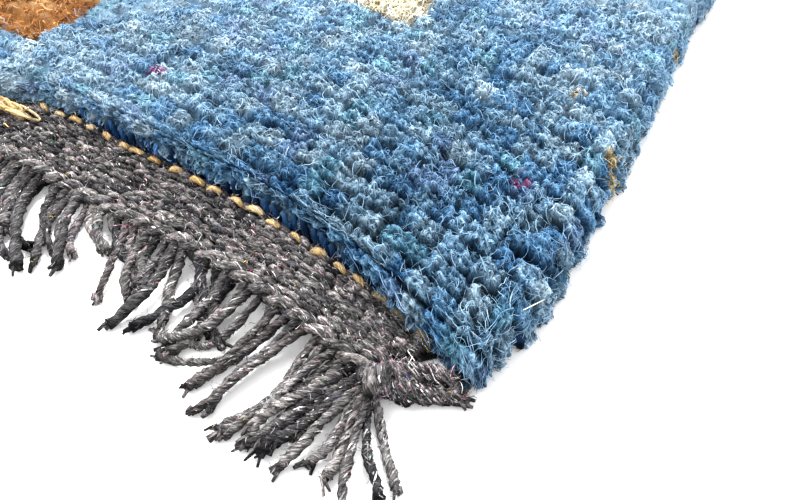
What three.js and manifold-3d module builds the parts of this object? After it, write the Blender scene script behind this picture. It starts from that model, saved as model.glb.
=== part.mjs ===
// A hand-knotted wool shag rug: a deep pile field, overcast side edges, and at each end a flat-woven
// band, a row of twining, and an edge cord with its fringe of plied warp ends.
// Millimetres. +X runs across the warps, +Y along them, +Z up. The rug lies flat, its back at Z = 0.

import * as THREE from "three";
import { mergeVertices } from "three/addons/utils/BufferGeometryUtils.js";
import Module from "manifold-3d";

const wasm = await Module();
wasm.setup();

// Pile field
const PILE_HALF_WIDTH = 283;
const PILE_HALF_LENGTH = 425;
const PILE_TOP = 18;
const PILE_CORNER_RADIUS = 9;
const PILE_COLUMNS = 32;
const PILE_ROWS = 46;
const LUMP_HEIGHT = 2.4;
const LUMP_VARIETY = 1.5;
const LUMP_SHIFT = 0.35;

// Rings from the pile's foot to its crown. Every second rim point is a lock that hangs further out.
const PILE_RIM = [
  { name: "foot", z: 0, out: 0, lock: 0, droop: 0 },
  { name: "throat", z: 9.2, out: 0, lock: 0, droop: 0 },
  { name: "lip", z: 12.6, out: 2.6, lock: 5.2, droop: 2.4 },
];
const PILE_CROWN_INSET = 3;
const SHORT_LOCK = { from: 0, to: 0.25 };
const LONG_LOCK = { from: 0.55, to: 1 };

// Flat-woven end band
const FIT_GAP = 0.42;
const BAND_STEPS = PILE_COLUMNS - 2;
const BAND_HALF_WIDTH = (PILE_HALF_WIDTH * BAND_STEPS) / PILE_COLUMNS;
const BAND_DEPTH = 29;
const BAND_THICKNESS = 4.4;
const BAND_RIBS = 7;
const RIB_HEIGHT = 0.8;
const BAND_END_SLANT = 0.055;

// Twining row, one stitch over every two warps
const STITCH_PITCH = 9.7;
const STITCHES = 54;
const STITCH_WIDTH = 3.2;
const STITCH_PROFILE = [
  { along: 0, height: 0.7 },
  { along: 0.5, height: 2.3 },
];

// Edge cord and fringe
const CORD_GAP = 0.6;
const CORD_WIDTH = 6.4;
const CORD_HEIGHT = 5.4;
const CORD_GROOVE = 0.86;
const CORD_RIDGE_SHIFT = 0.08;
const CORD_INNER_WALL = 0.6;
const WARP_PITCH = STITCH_PITCH / 2;
const STRANDS = 2 * STITCHES;
const STRAND_WIDTH = 3.1;
const STRAND_HEIGHT = 3.2;
const STRAND_LENGTH = 41;
const STRAND_SPREAD = 6;
const STRAND_STATIONS = [0.15, 0.5, 0.8, 1];
const STRAND_TAPER = { width: 0.22, height: 0.3 };
const CLUMP_SIZE = { least: 4, most: 8 };
const CLUMP_LEAN = 3;
const CLUMP_DRAW = 0.7;

// The cord's knotted tail at the corner where the weaver finished it off, in place of its last strands.
// Each section's middle is measured from the cord's end, as the tail really lies.
const TAIL_FOR_STRANDS = 2;
const CORD_TAIL = [
  { x: 3.7, y: -0.7, width: 9.5, height: 8.4 },
  { x: 7.2, y: -0.2, width: 5.8, height: 5.6 },
  { x: 11.2, y: 1.1, width: 8.2, height: 7.2 },
  { x: 14.8, y: 2.6, width: 5.4, height: 5 },
  { x: 18.5, y: 4.4, width: 4.8, height: 4.6 },
  { x: 23.2, y: 6.6, width: 4.6, height: 4.4 },
  { x: 27.7, y: 9.1, width: 5, height: 4.2 },
];

// Overcast side edge
const SELVEDGE_WIDTH = 8.6;
const SELVEDGE_HEIGHT = 8.2;
const SELVEDGE_HALF_LENGTH = 418;
const SELVEDGE_WRAPS = 58;
const SELVEDGE_GROOVE = { from: 0.86, to: 0.92 };

// Corners of the wrapped edge's section, as shares of its width and height from its middle on the floor.
const SELVEDGE_SHAPE = [
  { across: -0.44, up: 0 },
  { across: 0.44, up: 0 },
  { across: 0.5, up: 0.5 },
  { across: 0.26, up: 1 },
  { across: -0.3, up: 1 },
  { across: -0.5, up: 0.5 },
];

// How far each corner is pulled out of square, across the rug and along it.
const CORNER_PULLS = [
  { sideX: 1, sideY: -1, across: 18, along: 30 },
  { sideX: -1, sideY: -1, across: 7, along: 6 },
  { sideX: 1, sideY: 1, across: 9, along: 8 },
  { sideX: -1, sideY: 1, across: 13, along: 13 },
];
const ACROSS_REACH = { x: 210, y: 300 };
const ALONG_REACH = { x: 140, y: 220 };
const ALONG_FADE_BEYOND_PILE = 95;
const EDGE_WAVER = { size: 1.6, lengthX: 71, lengthY: 83, startX: 1.9, startY: 0.6 };

const COLOURS = {
  pile: 0x4a7197,
  band: 0x6f6c6c,
  twining: 0xc7ad7c,
  fringe: 0x77737a,
  selvedge: 0x41678d,
};

// A repeatable value from 0 to 1 for a whole number and a stream.
function chance(index, stream) {
  const wave = Math.sin(index * 12.9898 + stream * 78.233) * 43758.5453;
  return wave - Math.floor(wave);
}

function chanceBetween({ from, to }, index, stream) {
  return from + (to - from) * chance(index, stream);
}

// From 0 to 1 with a level start and end.
function ease(t) {
  const s = Math.min(1, Math.max(0, t));
  return s * s * (3 - 2 * s);
}

// From 0 to 1 with a level start and a steep end.
function swing(t) {
  const s = Math.min(1, Math.max(0, t));
  return s * s;
}

// Moves a point of the squared-up rug to where it lies on the real, uneven one.
function lay(x, y) {
  const { size, lengthX, lengthY, startX, startY } = EDGE_WAVER;
  let movedX = x + size * Math.sin(y / lengthY + startY);
  let movedY = y + size * Math.sin(x / lengthX + startX);
  const fade = 1 - Math.max(0, Math.abs(y) - PILE_HALF_LENGTH) / ALONG_FADE_BEYOND_PILE;
  for (const { sideX, sideY, across, along } of CORNER_PULLS) {
    const fromSide = Math.max(0, PILE_HALF_WIDTH - sideX * x);
    const fromEnd = Math.max(0, PILE_HALF_LENGTH - sideY * y);
    movedX += sideX * across * ease(1 - fromSide / ACROSS_REACH.x) * ease(1 - fromEnd / ACROSS_REACH.y);
    const sideShare = swing(1 - fromSide / ALONG_REACH.x);
    movedY += sideY * along * fade * sideShare * ease(1 - fromEnd / ALONG_REACH.y);
  }
  return [movedX, movedY];
}

function laidPoint(x, y, z) {
  const [movedX, movedY] = lay(x, y);
  return new THREE.Vector3(movedX, movedY, z);
}

function geometryOf(points, faces) {
  return new THREE.BufferGeometry().setFromPoints(points).setIndex(faces);
}

// A closed surface built up face by face. Points are named by their place in the list.
class Skin {
  points = [];
  faces = [];

  add(points) {
    return points.map((point) => this.points.push(point) - 1);
  }

  face(a, b, c) {
    this.faces.push(a, b, c);
  }

  quad(a, b, c, d) {
    this.face(a, b, c);
    this.face(a, c, d);
  }

  // Walls between rings that all have the same number of points.
  tube(rings) {
    for (let r = 0; r < rings.length - 1; r += 1) {
      const sides = rings[r].length;
      for (let k = 0; k < sides; k += 1) {
        const next = (k + 1) % sides;
        this.quad(rings[r][k], rings[r][next], rings[r + 1][next], rings[r + 1][k]);
      }
    }
  }

  cap(ring) {
    for (let k = 1; k < ring.length - 1; k += 1) this.face(ring[0], ring[k + 1], ring[k]);
  }

  geometry() {
    return geometryOf(this.points, this.faces);
  }
}

// A closed skin over a row of rings that all have the same number of points.
function loft(rings) {
  const skin = new Skin();
  const made = rings.map((ring) => skin.add(ring));
  skin.tube(made);
  skin.cap(made[0]);
  skin.cap([...made[made.length - 1]].reverse());
  return skin.geometry();
}

function solidOf(geometry) {
  const merged = mergeVertices(geometry, 1e-4);
  const mesh = new wasm.Mesh({
    numProp: 3,
    vertProperties: merged.attributes.position.array,
    triVerts: new Uint32Array(merged.index.array),
  });
  const made = new wasm.Manifold(mesh);
  return made.volume() < 0 ? solidOf(turned(geometry)) : made;
}

// The same geometry with its faces turned round.
function turned(geometry) {
  const faces = Array.from(geometry.index.array);
  for (let i = 0; i < faces.length; i += 3) {
    [faces[i + 1], faces[i + 2]] = [faces[i + 2], faces[i + 1]];
  }
  return geometry.clone().setIndex(faces);
}

function geometryOfSolid(made) {
  const mesh = made.getMesh();
  const points = [];
  for (let i = 0; i < mesh.vertProperties.length; i += mesh.numProp) {
    points.push(new THREE.Vector3(...mesh.vertProperties.subarray(i, i + 3)));
  }
  return geometryOf(points, Array.from(mesh.triVerts));
}

function meshOf(name, geometry, colour) {
  const material = new THREE.MeshStandardMaterial({ color: colour, roughness: 0.95, metalness: 0 });
  geometry.computeVertexNormals();
  const mesh = new THREE.Mesh(geometry, material);
  mesh.name = name;
  return mesh;
}

// Pile field

// A point of the rounded field outline grown by out, from its place on the square grid.
function rimPoint(gridX, gridY, out) {
  const halfX = PILE_HALF_WIDTH + out;
  const halfY = PILE_HALF_LENGTH + out;
  const radius = PILE_CORNER_RADIUS + out;
  const x = gridX * halfX;
  const y = gridY * halfY;
  const overX = Math.abs(x) - (halfX - radius);
  const overY = Math.abs(y) - (halfY - radius);
  if (overX <= 0 || overY <= 0) return [x, y];
  const pull = Math.max(overX, overY) / Math.hypot(overX, overY);
  return [
    Math.sign(x) * (halfX - radius + overX * pull),
    Math.sign(y) * (halfY - radius + overY * pull),
  ];
}

// The grid's border cells in order round the field, counterclockwise from above.
function borderCells() {
  const cells = [];
  for (let i = 0; i < PILE_COLUMNS; i += 1) cells.push([i, 0]);
  for (let j = 0; j < PILE_ROWS; j += 1) cells.push([PILE_COLUMNS, j]);
  for (let i = PILE_COLUMNS; i > 0; i -= 1) cells.push([i, PILE_ROWS]);
  for (let j = PILE_ROWS; j > 0; j -= 1) cells.push([0, j]);
  return cells;
}

function pileGeometry() {
  const points = [];
  const faces = [];
  const wide = PILE_COLUMNS + 1;
  for (let j = 0; j <= PILE_ROWS; j += 1) {
    for (let i = 0; i <= PILE_COLUMNS; i += 1) {
      const id = j * wide + i;
      const inside = i > 0 && j > 0 && i < PILE_COLUMNS && j < PILE_ROWS;
      const shiftX = inside ? (chance(id, 1) - 0.5) * LUMP_SHIFT : 0;
      const shiftY = inside ? (chance(id, 2) - 0.5) * LUMP_SHIFT : 0;
      const gridX = (2 * (i + shiftX)) / PILE_COLUMNS - 1;
      const gridY = (2 * (j + shiftY)) / PILE_ROWS - 1;
      const [x, y] = rimPoint(gridX, gridY, -PILE_CROWN_INSET);
      const tuft = (i + j) % 2 ? 0.5 : -0.5;
      const lump = LUMP_HEIGHT * (tuft + LUMP_VARIETY * (chance(id, 3) - 0.5));
      points.push(laidPoint(x, y, PILE_TOP + (inside ? lump : lump / 2 - LUMP_HEIGHT)));
    }
  }
  for (let j = 0; j < PILE_ROWS; j += 1) {
    for (let i = 0; i < PILE_COLUMNS; i += 1) {
      const a = j * wide + i;
      faces.push(a, a + 1, a + wide + 1, a, a + wide + 1, a + wide);
    }
  }
  const border = borderCells();
  const crown = border.map(([i, j]) => j * wide + i);
  const rings = PILE_RIM.map(({ z, out, lock, droop }) =>
    border.map(([i, j], k) => {
      const hang = k % 2 ? chanceBetween(LONG_LOCK, k, 4) : chanceBetween(SHORT_LOCK, k, 5);
      const reach = out + lock * hang;
      const [x, y] = rimPoint((2 * i) / PILE_COLUMNS - 1, (2 * j) / PILE_ROWS - 1, reach);
      points.push(laidPoint(x, y, z - droop * hang));
      return points.length - 1;
    }),
  );
  [...rings, crown].forEach((ring, r, all) => {
    if (r === 0) return;
    const below = all[r - 1];
    ring.forEach((top, k) => {
      const next = (k + 1) % ring.length;
      faces.push(below[k], below[next], top, below[next], ring[next], top);
    });
  });
  const foot = rings[0];
  const outline = foot.map((p) => new THREE.Vector2(points[p].x, points[p].y));
  for (const [a, b, c] of THREE.ShapeUtils.triangulateShape(outline, [])) {
    faces.push(foot[a], foot[c], foot[b]);
  }
  return geometryOf(points, faces);
}

// Flat-woven end band, with its weft ribs along X

function bandGeometry(sideY) {
  const inner = PILE_HALF_LENGTH + FIT_GAP;
  const rings = [];
  for (let s = 0; s <= BAND_STEPS; s += 1) {
    const x = BAND_HALF_WIDTH * ((2 * s) / BAND_STEPS - 1);
    const drawnIn = (depth) => x * (1 - (BAND_END_SLANT * depth) / BAND_DEPTH);
    const at = (depth, z) => laidPoint(drawnIn(depth), sideY * (inner + depth), z);
    const ring = [at(BAND_DEPTH, 0), at(0, 0)];
    for (let k = 0; k <= 2 * BAND_RIBS; k += 1) {
      const groove = k % 2 ? 0 : RIB_HEIGHT;
      ring.push(at((BAND_DEPTH * k) / (2 * BAND_RIBS), BAND_THICKNESS - groove));
    }
    rings.push(ring);
  }
  return loft(rings);
}

// Twining row: a cord that rises over two warps and dips between them

function twiningGeometry(sideY) {
  const y = PILE_HALF_LENGTH + FIT_GAP + STITCH_WIDTH / 2 + 0.5;
  const floor = BAND_THICKNESS + FIT_GAP;
  const start = (-STITCHES * STITCH_PITCH) / 2;
  const rings = [];
  for (let n = 0; n < STITCHES; n += 1) {
    for (const { along, height } of STITCH_PROFILE) {
      const x = start + (n + along) * STITCH_PITCH;
      rings.push([
        laidPoint(x, sideY * (y - STITCH_WIDTH / 2), floor),
        laidPoint(x, sideY * (y + STITCH_WIDTH / 2), floor),
        laidPoint(x, sideY * y, floor + height),
      ]);
    }
  }
  return loft(rings);
}

// Edge cord and fringe

// The cord's section at x: inner foot, outer foot, outer wall, ridge and inner wall.
function cordSection(x, y, sideY, width, height) {
  return [
    laidPoint(x, sideY * (y - width / 2), 0),
    laidPoint(x, sideY * (y + width / 2), 0),
    laidPoint(x, sideY * (y + width / 2), STRAND_HEIGHT * (height / CORD_HEIGHT)),
    laidPoint(x, sideY * (y + CORD_RIDGE_SHIFT * width), height),
    laidPoint(x, sideY * (y - width / 2), CORD_INNER_WALL * height),
  ];
}

// Sections of the knotted tail, square to its own bends. start is the middle of the cord's end.
function tailSections(start) {
  const middles = [start, ...CORD_TAIL.map(({ x, y }) => new THREE.Vector2(start.x + x, start.y + y))];
  return CORD_TAIL.map(({ width, height }, n) => {
    const middle = middles[n + 1];
    const ahead = (middles[n + 2] ?? middle).clone().sub(middles[n]).normalize();
    const at = (share, z) =>
      new THREE.Vector3(middle.x - ahead.y * share * width, middle.y + ahead.x * share * width, z);
    return [
      at(0.5, 0),
      at(-0.5, 0),
      at(-0.5, STRAND_HEIGHT * (height / CORD_HEIGHT)),
      at(-CORD_RIDGE_SHIFT, height),
      at(0.5, CORD_INNER_WALL * height),
    ];
  });
}

// The clumps that the strands of one end gather into: each takes the next few strands.
function clumpsOf(stream) {
  const clumps = [];
  for (let first = 0, n = 0; first < STRANDS; n += 1) {
    const choices = CLUMP_SIZE.most - CLUMP_SIZE.least + 1;
    const wanted = CLUMP_SIZE.least + Math.floor(choices * chance(n, stream));
    const count = Math.min(STRANDS - first, wanted);
    clumps.push({ first, count, lean: CLUMP_LEAN * (chance(n, stream + 1) - 0.5) });
    first += count;
  }
  return clumps;
}

// The three-sided sections of one strand, from just outside the cord to its cut end.
function strandSections(sideY, index, clump, rootY) {
  const rootX = (index + 0.5 - STRANDS / 2) * WARP_PITCH;
  const middleX = (clump.first + clump.count / 2 - STRANDS / 2) * WARP_PITCH;
  const tipX = middleX + clump.lean + (rootX - middleX) * CLUMP_DRAW;
  const length = STRAND_LENGTH + STRAND_SPREAD * (chance(index, 9 + sideY) - 0.5);
  return STRAND_STATIONS.map((share) => {
    const x = rootX + (tipX - rootX) * ease(share);
    const y = sideY * (rootY + length * share);
    const half = (STRAND_WIDTH / 2) * (1 - STRAND_TAPER.width * share);
    const height = STRAND_HEIGHT * (1 - STRAND_TAPER.height * share);
    return [laidPoint(x - half, y, 0), laidPoint(x, y, height), laidPoint(x + half, y, 0)];
  });
}

// The cord's outer wall opens into one strand after another, so cord and fringe are one solid.
function fringeGeometry(sideY, stream, hasTail) {
  const skin = new Skin();
  const y = PILE_HALF_LENGTH + FIT_GAP + BAND_DEPTH + CORD_GAP + CORD_WIDTH / 2;
  const clumpOf = clumpsOf(stream).flatMap((clump) => Array(clump.count).fill(clump));
  const strands = hasTail ? STRANDS - TAIL_FOR_STRANDS : STRANDS;
  const sections = [];
  for (let n = 0; n <= strands; n += 1) {
    const swell = n % 4 < 2 ? 1 : CORD_GROOVE;
    const x = (n - STRANDS / 2) * WARP_PITCH;
    sections.push(skin.add(cordSection(x, y, sideY, CORD_WIDTH, CORD_HEIGHT * swell)));
  }
  for (let n = 0; n < strands; n += 1) {
    const [innerFoot, outerFoot, wall, ridge, innerWall] = sections[n];
    const [nextInnerFoot, nextOuterFoot, nextWall, nextRidge, nextInnerWall] = sections[n + 1];
    skin.quad(innerFoot, outerFoot, nextOuterFoot, nextInnerFoot);
    skin.quad(wall, ridge, nextRidge, nextWall);
    skin.quad(ridge, innerWall, nextInnerWall, nextRidge);
    skin.quad(innerWall, innerFoot, nextInnerFoot, nextInnerWall);
    const strand = strandSections(sideY, n, clumpOf[n], y + CORD_WIDTH / 2).map((s) => skin.add(s));
    const [left, top, right] = strand[0];
    skin.quad(nextOuterFoot, outerFoot, left, right);
    skin.quad(outerFoot, wall, top, left);
    skin.quad(nextWall, nextOuterFoot, right, top);
    skin.face(wall, nextWall, top);
    skin.tube(strand);
    skin.face(...strand[strand.length - 1]);
  }
  const tail = [sections[strands]];
  if (hasTail) {
    const [endX, endY] = lay((strands - STRANDS / 2) * WARP_PITCH, sideY * y);
    tail.push(...tailSections(new THREE.Vector2(endX, endY)).map((section) => skin.add(section)));
    skin.tube(tail);
  }
  skin.cap([...tail[tail.length - 1]].reverse());
  skin.cap(sections[0]);
  return skin.geometry();
}

// Overcast side edge: a bundle of warps wrapped in wool, thicker at each wrap

function selvedgeGeometry(sideX) {
  const x = PILE_HALF_WIDTH + FIT_GAP + SELVEDGE_WIDTH / 2;
  const rings = [];
  for (let n = 0; n <= SELVEDGE_WRAPS; n += 1) {
    const y = SELVEDGE_HALF_LENGTH * ((2 * n) / SELVEDGE_WRAPS - 1);
    const swell = n % 2 ? 1 : chanceBetween(SELVEDGE_GROOVE, n, 12);
    const ring = SELVEDGE_SHAPE.map(({ across, up }) => {
      const outward = across > 0 ? across * swell : across;
      return laidPoint(sideX * (x + outward * SELVEDGE_WIDTH), y, up * swell * SELVEDGE_HEIGHT);
    });
    rings.push(ring);
  }
  return loft(rings);
}

// The rug, with its origin on the floor under the middle of its box

function outward(geometry) {
  return geometryOfSolid(solidOf(geometry));
}

const rug = new THREE.Group();
rug.add(
  meshOf("pile", outward(pileGeometry()), COLOURS.pile),
  meshOf("selvedge_left", outward(selvedgeGeometry(-1)), COLOURS.selvedge),
  meshOf("selvedge_right", outward(selvedgeGeometry(1)), COLOURS.selvedge),
);
for (const { end, sideY, stream } of [
  { end: "near", sideY: -1, stream: 20 },
  { end: "far", sideY: 1, stream: 40 },
]) {
  rug.add(
    meshOf(`kilim_${end}`, outward(bandGeometry(sideY)), COLOURS.band),
    meshOf(`twining_${end}`, outward(twiningGeometry(sideY)), COLOURS.twining),
    meshOf(`fringe_${end}`, outward(fringeGeometry(sideY, stream, sideY < 0)), COLOURS.fringe),
  );
}
const middle = new THREE.Box3().setFromObject(rug).getCenter(new THREE.Vector3());
rug.position.set(-middle.x, -middle.y, 0);

export default rug;
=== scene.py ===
# A hand-knotted wool shag rug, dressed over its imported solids.
# Sizes here are millimetres, and every mesh is written in metres.
# +X runs across the warps, and +Y along them.

import math

import bpy
import numpy as np
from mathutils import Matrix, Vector


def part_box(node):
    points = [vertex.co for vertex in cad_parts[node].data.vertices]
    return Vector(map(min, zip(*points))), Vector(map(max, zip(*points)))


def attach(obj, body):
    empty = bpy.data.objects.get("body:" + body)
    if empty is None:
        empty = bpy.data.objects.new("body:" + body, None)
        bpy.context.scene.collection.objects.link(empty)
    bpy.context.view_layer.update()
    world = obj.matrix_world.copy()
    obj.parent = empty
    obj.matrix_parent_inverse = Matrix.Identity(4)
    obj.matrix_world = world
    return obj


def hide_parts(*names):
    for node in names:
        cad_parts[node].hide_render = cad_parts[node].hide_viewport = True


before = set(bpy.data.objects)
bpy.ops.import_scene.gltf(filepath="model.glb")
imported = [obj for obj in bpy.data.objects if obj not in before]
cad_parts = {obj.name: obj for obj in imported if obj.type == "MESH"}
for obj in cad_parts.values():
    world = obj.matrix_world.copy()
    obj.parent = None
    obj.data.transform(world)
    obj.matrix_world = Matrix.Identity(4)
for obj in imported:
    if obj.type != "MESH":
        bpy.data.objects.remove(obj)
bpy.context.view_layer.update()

MM = 0.001

# The squared-up rug, before its corners are pulled out, with the same sizes as its solids
PILE_HALF_WIDTH = 283
PILE_HALF_LENGTH = 425
PILE_CORNER_RADIUS = 9
FIT_GAP = 0.42
BAND_STEPS = 30
BAND_HALF_WIDTH = PILE_HALF_WIDTH * BAND_STEPS / 32
BAND_DEPTH = 29
BAND_END_SLANT = 0.055
CORD_GAP = 0.6
CORD_WIDTH = 6.4
STITCH_PITCH = 9.7
STITCHES = 54
FRINGE_HALF_WIDTH = STITCHES * STITCH_PITCH / 2
TAIL_START = FRINGE_HALF_WIDTH - STITCH_PITCH
STRAND_LENGTH = 41

# How far each corner is pulled out of square: side of X, side of Y, across the rug, along it
CORNER_PULLS = [
    (1, -1, 18, 30),
    (-1, -1, 7, 6),
    (1, 1, 9, 8),
    (-1, 1, 13, 13),
]
ACROSS_REACH = (210, 300)
ALONG_REACH = (140, 220)
ALONG_FADE_BEYOND_PILE = 95
WAVER_SIZE = 1.6
WAVER_LENGTHS = (71, 83)
WAVER_STARTS = (1.9, 0.6)

# Places where the flat-woven band curls up off the floor: side of Y, middle, half width, height
BAND_CURLS = [
    (-1, 200, 52, 4.5),
    (-1, -120, 70, 2.5),
    (1, 60, 60, 3.0),
    (1, -190, 45, 2.2),
]

# The corner that the camera looks at, before the frame's shift
CORNER = (305.0, -458.0)

# The camera, in millimetres and measured from that corner, with the way it looks
FOCAL_LENGTH = 36.0
SENSOR_WIDTH = 36.0
CAMERA_HEIGHT = 211.0
CAMERA_FROM_CORNER = (55.3, -136.5)
CAMERA_HEADING = (-0.538, 0.843)
CAMERA_PITCH = math.radians(44.64)
PICTURE_SHAPE = 500 / 800
PICTURE_MARGIN = 1.08

# How near the camera the pile's fibres are finest and densest
CLOSE = 290.0

# Seeds of the pile's random draws. The other pieces get theirs where they are made.
TUFTS_SEED = 10
BODY_SEED = 11
FIBRES_SEED = 12
GROUND_SEED = 13
STRAYS_SEED = 14


def ease(t):
    s = np.clip(t, 0.0, 1.0)
    return s * s * (3 - 2 * s)


def swing(t):
    return np.clip(t, 0.0, 1.0) ** 2


def lay(x, y):
    """Moves points of the squared-up rug to where they lie on the real, uneven one."""
    moved_x = x + WAVER_SIZE * np.sin(y / WAVER_LENGTHS[1] + WAVER_STARTS[1])
    moved_y = y + WAVER_SIZE * np.sin(x / WAVER_LENGTHS[0] + WAVER_STARTS[0])
    fade = 1 - np.maximum(0, np.abs(y) - PILE_HALF_LENGTH) / ALONG_FADE_BEYOND_PILE
    for side_x, side_y, across, along in CORNER_PULLS:
        from_side = np.maximum(0, PILE_HALF_WIDTH - side_x * x)
        from_end = np.maximum(0, PILE_HALF_LENGTH - side_y * y)
        moved_x = moved_x + side_x * across * (
            ease(1 - from_side / ACROSS_REACH[0]) * ease(1 - from_end / ACROSS_REACH[1])
        )
        moved_y = moved_y + side_y * along * fade * (
            swing(1 - from_side / ALONG_REACH[0]) * ease(1 - from_end / ALONG_REACH[1])
        )
    return moved_x, moved_y


def frame_shift():
    """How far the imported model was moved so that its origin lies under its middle."""
    x = np.linspace(-BAND_HALF_WIDTH, BAND_HALF_WIDTH, BAND_STEPS + 1)
    inner = lay(x, np.full_like(x, -(PILE_HALF_LENGTH + FIT_GAP)))
    outer = lay(x * (1 - BAND_END_SLANT), np.full_like(x, -(PILE_HALF_LENGTH + FIT_GAP + BAND_DEPTH)))
    low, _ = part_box("kilim_near")
    low_x = min(inner[0].min(), outer[0].min())
    return low.x / MM - low_x, low.y / MM - outer[1].min()


SHIFT_X, SHIFT_Y = frame_shift()


def curl_height(x, y):
    """How far the end bands, with their cords and strand roots, stand off the floor."""
    beyond = np.abs(y) - PILE_HALF_LENGTH
    rise = ease((beyond - 4) / 26) * (1 - ease((beyond - 38) / 24))
    height = np.zeros_like(x)
    for side, middle, half_width, lift in BAND_CURLS:
        here = np.sign(y) == side
        height = height + here * lift * np.exp(-(((x - middle) / half_width) ** 2))
    return height * rise


def to_frame(points):
    """Squared-up points, in millimetres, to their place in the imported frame."""
    x, y = lay(points[..., 0], points[..., 1])
    z = points[..., 2] + curl_height(points[..., 0], points[..., 1])
    return np.stack([x + SHIFT_X, y + SHIFT_Y, z], axis=-1)


def in_picture(x, y, z):
    """Whether squared-up places fall in the picture, as 1 or 0, and how far off the camera is."""
    moved_x, moved_y = lay(x, y)
    to_x = moved_x - CORNER[0] - CAMERA_FROM_CORNER[0]
    to_y = moved_y - CORNER[1] - CAMERA_FROM_CORNER[1]
    to_z = z - CAMERA_HEIGHT
    level, fall = math.cos(CAMERA_PITCH), math.sin(CAMERA_PITCH)
    ahead_level = to_x * CAMERA_HEADING[0] + to_y * CAMERA_HEADING[1]
    ahead = ahead_level * level - to_z * fall
    right = to_x * CAMERA_HEADING[1] - to_y * CAMERA_HEADING[0]
    up = ahead_level * fall + to_z * level
    half = PICTURE_MARGIN * SENSOR_WIDTH / FOCAL_LENGTH / 2
    seen = (ahead > 1) & (np.abs(right) < half * ahead) & (np.abs(up) < half * PICTURE_SHAPE * ahead)
    return seen.astype(float), np.sqrt(to_x ** 2 + to_y ** 2 + to_z ** 2)


# Colours of the wools

def linear(rgb):
    """Colours as they look on a screen, as the renderer counts light."""
    share = np.asarray(rgb, float) / 255
    return np.where(share <= 0.04045, share / 12.92, ((share + 0.055) / 1.055) ** 2.4)


def wools(*rows):
    """Colours and their shares, from rows of share, red, green and blue."""
    table = np.array(rows)
    return linear(table[:, 1:]), table[:, 0]


BLUES = wools(
    (0.25, 140, 178, 210),
    (0.2, 124, 167, 204),
    (0.16, 154, 187, 213),
    (0.15, 111, 156, 198),
    (0.1, 168, 197, 219),
    (0.08, 128, 176, 203),
    (0.06, 134, 166, 206),
)
RUSTS = wools((0.4, 178, 126, 82), (0.25, 164, 112, 68), (0.2, 190, 144, 100), (0.15, 146, 98, 60))
CREAMS = wools((0.5, 238, 228, 200), (0.3, 226, 212, 178), (0.2, 246, 240, 220))
GREYS = wools(
    (0.32, 80, 78, 78),
    (0.24, 60, 59, 60),
    (0.2, 103, 99, 98),
    (0.12, 43, 43, 45),
    (0.12, 92, 86, 87),
)
TANS = wools((0.4, 194, 166, 120), (0.3, 176, 146, 98), (0.2, 212, 188, 146), (0.1, 138, 114, 78))
# The tan yarn darkened with painted shade
SHADED_TANS = wools((0.45, 98, 86, 64), (0.3, 80, 72, 56), (0.25, 120, 105, 76))
# The pile's blue darkened with painted shade, for the yarn under the pile's overhang
SHADED_BLUES = wools((0.5, 44, 72, 104), (0.3, 34, 56, 84), (0.2, 58, 90, 122))
FIBRE_BLUES = wools(
    (0.35, 166, 204, 230),
    (0.3, 146, 190, 222),
    (0.15, 196, 222, 240),
    (0.2, 124, 174, 212),
)
# The marled grey yarn's fibres, with flecks of other wool spun in
MARL = wools(
    (0.235, 30, 29, 32),
    (0.24, 66, 64, 67),
    (0.23, 108, 105, 107),
    (0.155, 150, 146, 147),
    (0.08, 190, 186, 184),
    (0.015, 220, 216, 210),
    (0.031, 178, 134, 144),
    (0.004, 160, 62, 84),
    (0.003, 208, 188, 84),
    (0.003, 58, 112, 92),
    (0.004, 66, 66, 122),
)
# The pale blue that painted light draws the pile towards, away from the near corner
PALE_BLUE = linear((204, 218, 232))
DARK_GREY = linear((43, 43, 45))
CREAM_LIGHT = 1.35
SOFTENED_GAIN = 1.4
SOFTENED_BEND = 0.8


def main_colour(wool):
    return wool[0][0]


def picked(rng, wool, count, spread=0.16):
    """One of the wool's colours for each piece, each a little lighter or darker."""
    colours, shares = wool
    chosen = colours[rng.choice(len(colours), size=count, p=shares)]
    return chosen * np.exp(rng.normal(0, spread, (count, 1)))


def softened(tint):
    """Draws the brightest colours in, so that a sunlit lock doesn't glare."""
    return SOFTENED_GAIN * tint / (1 + SOFTENED_BEND * tint)


# Meshes

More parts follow.
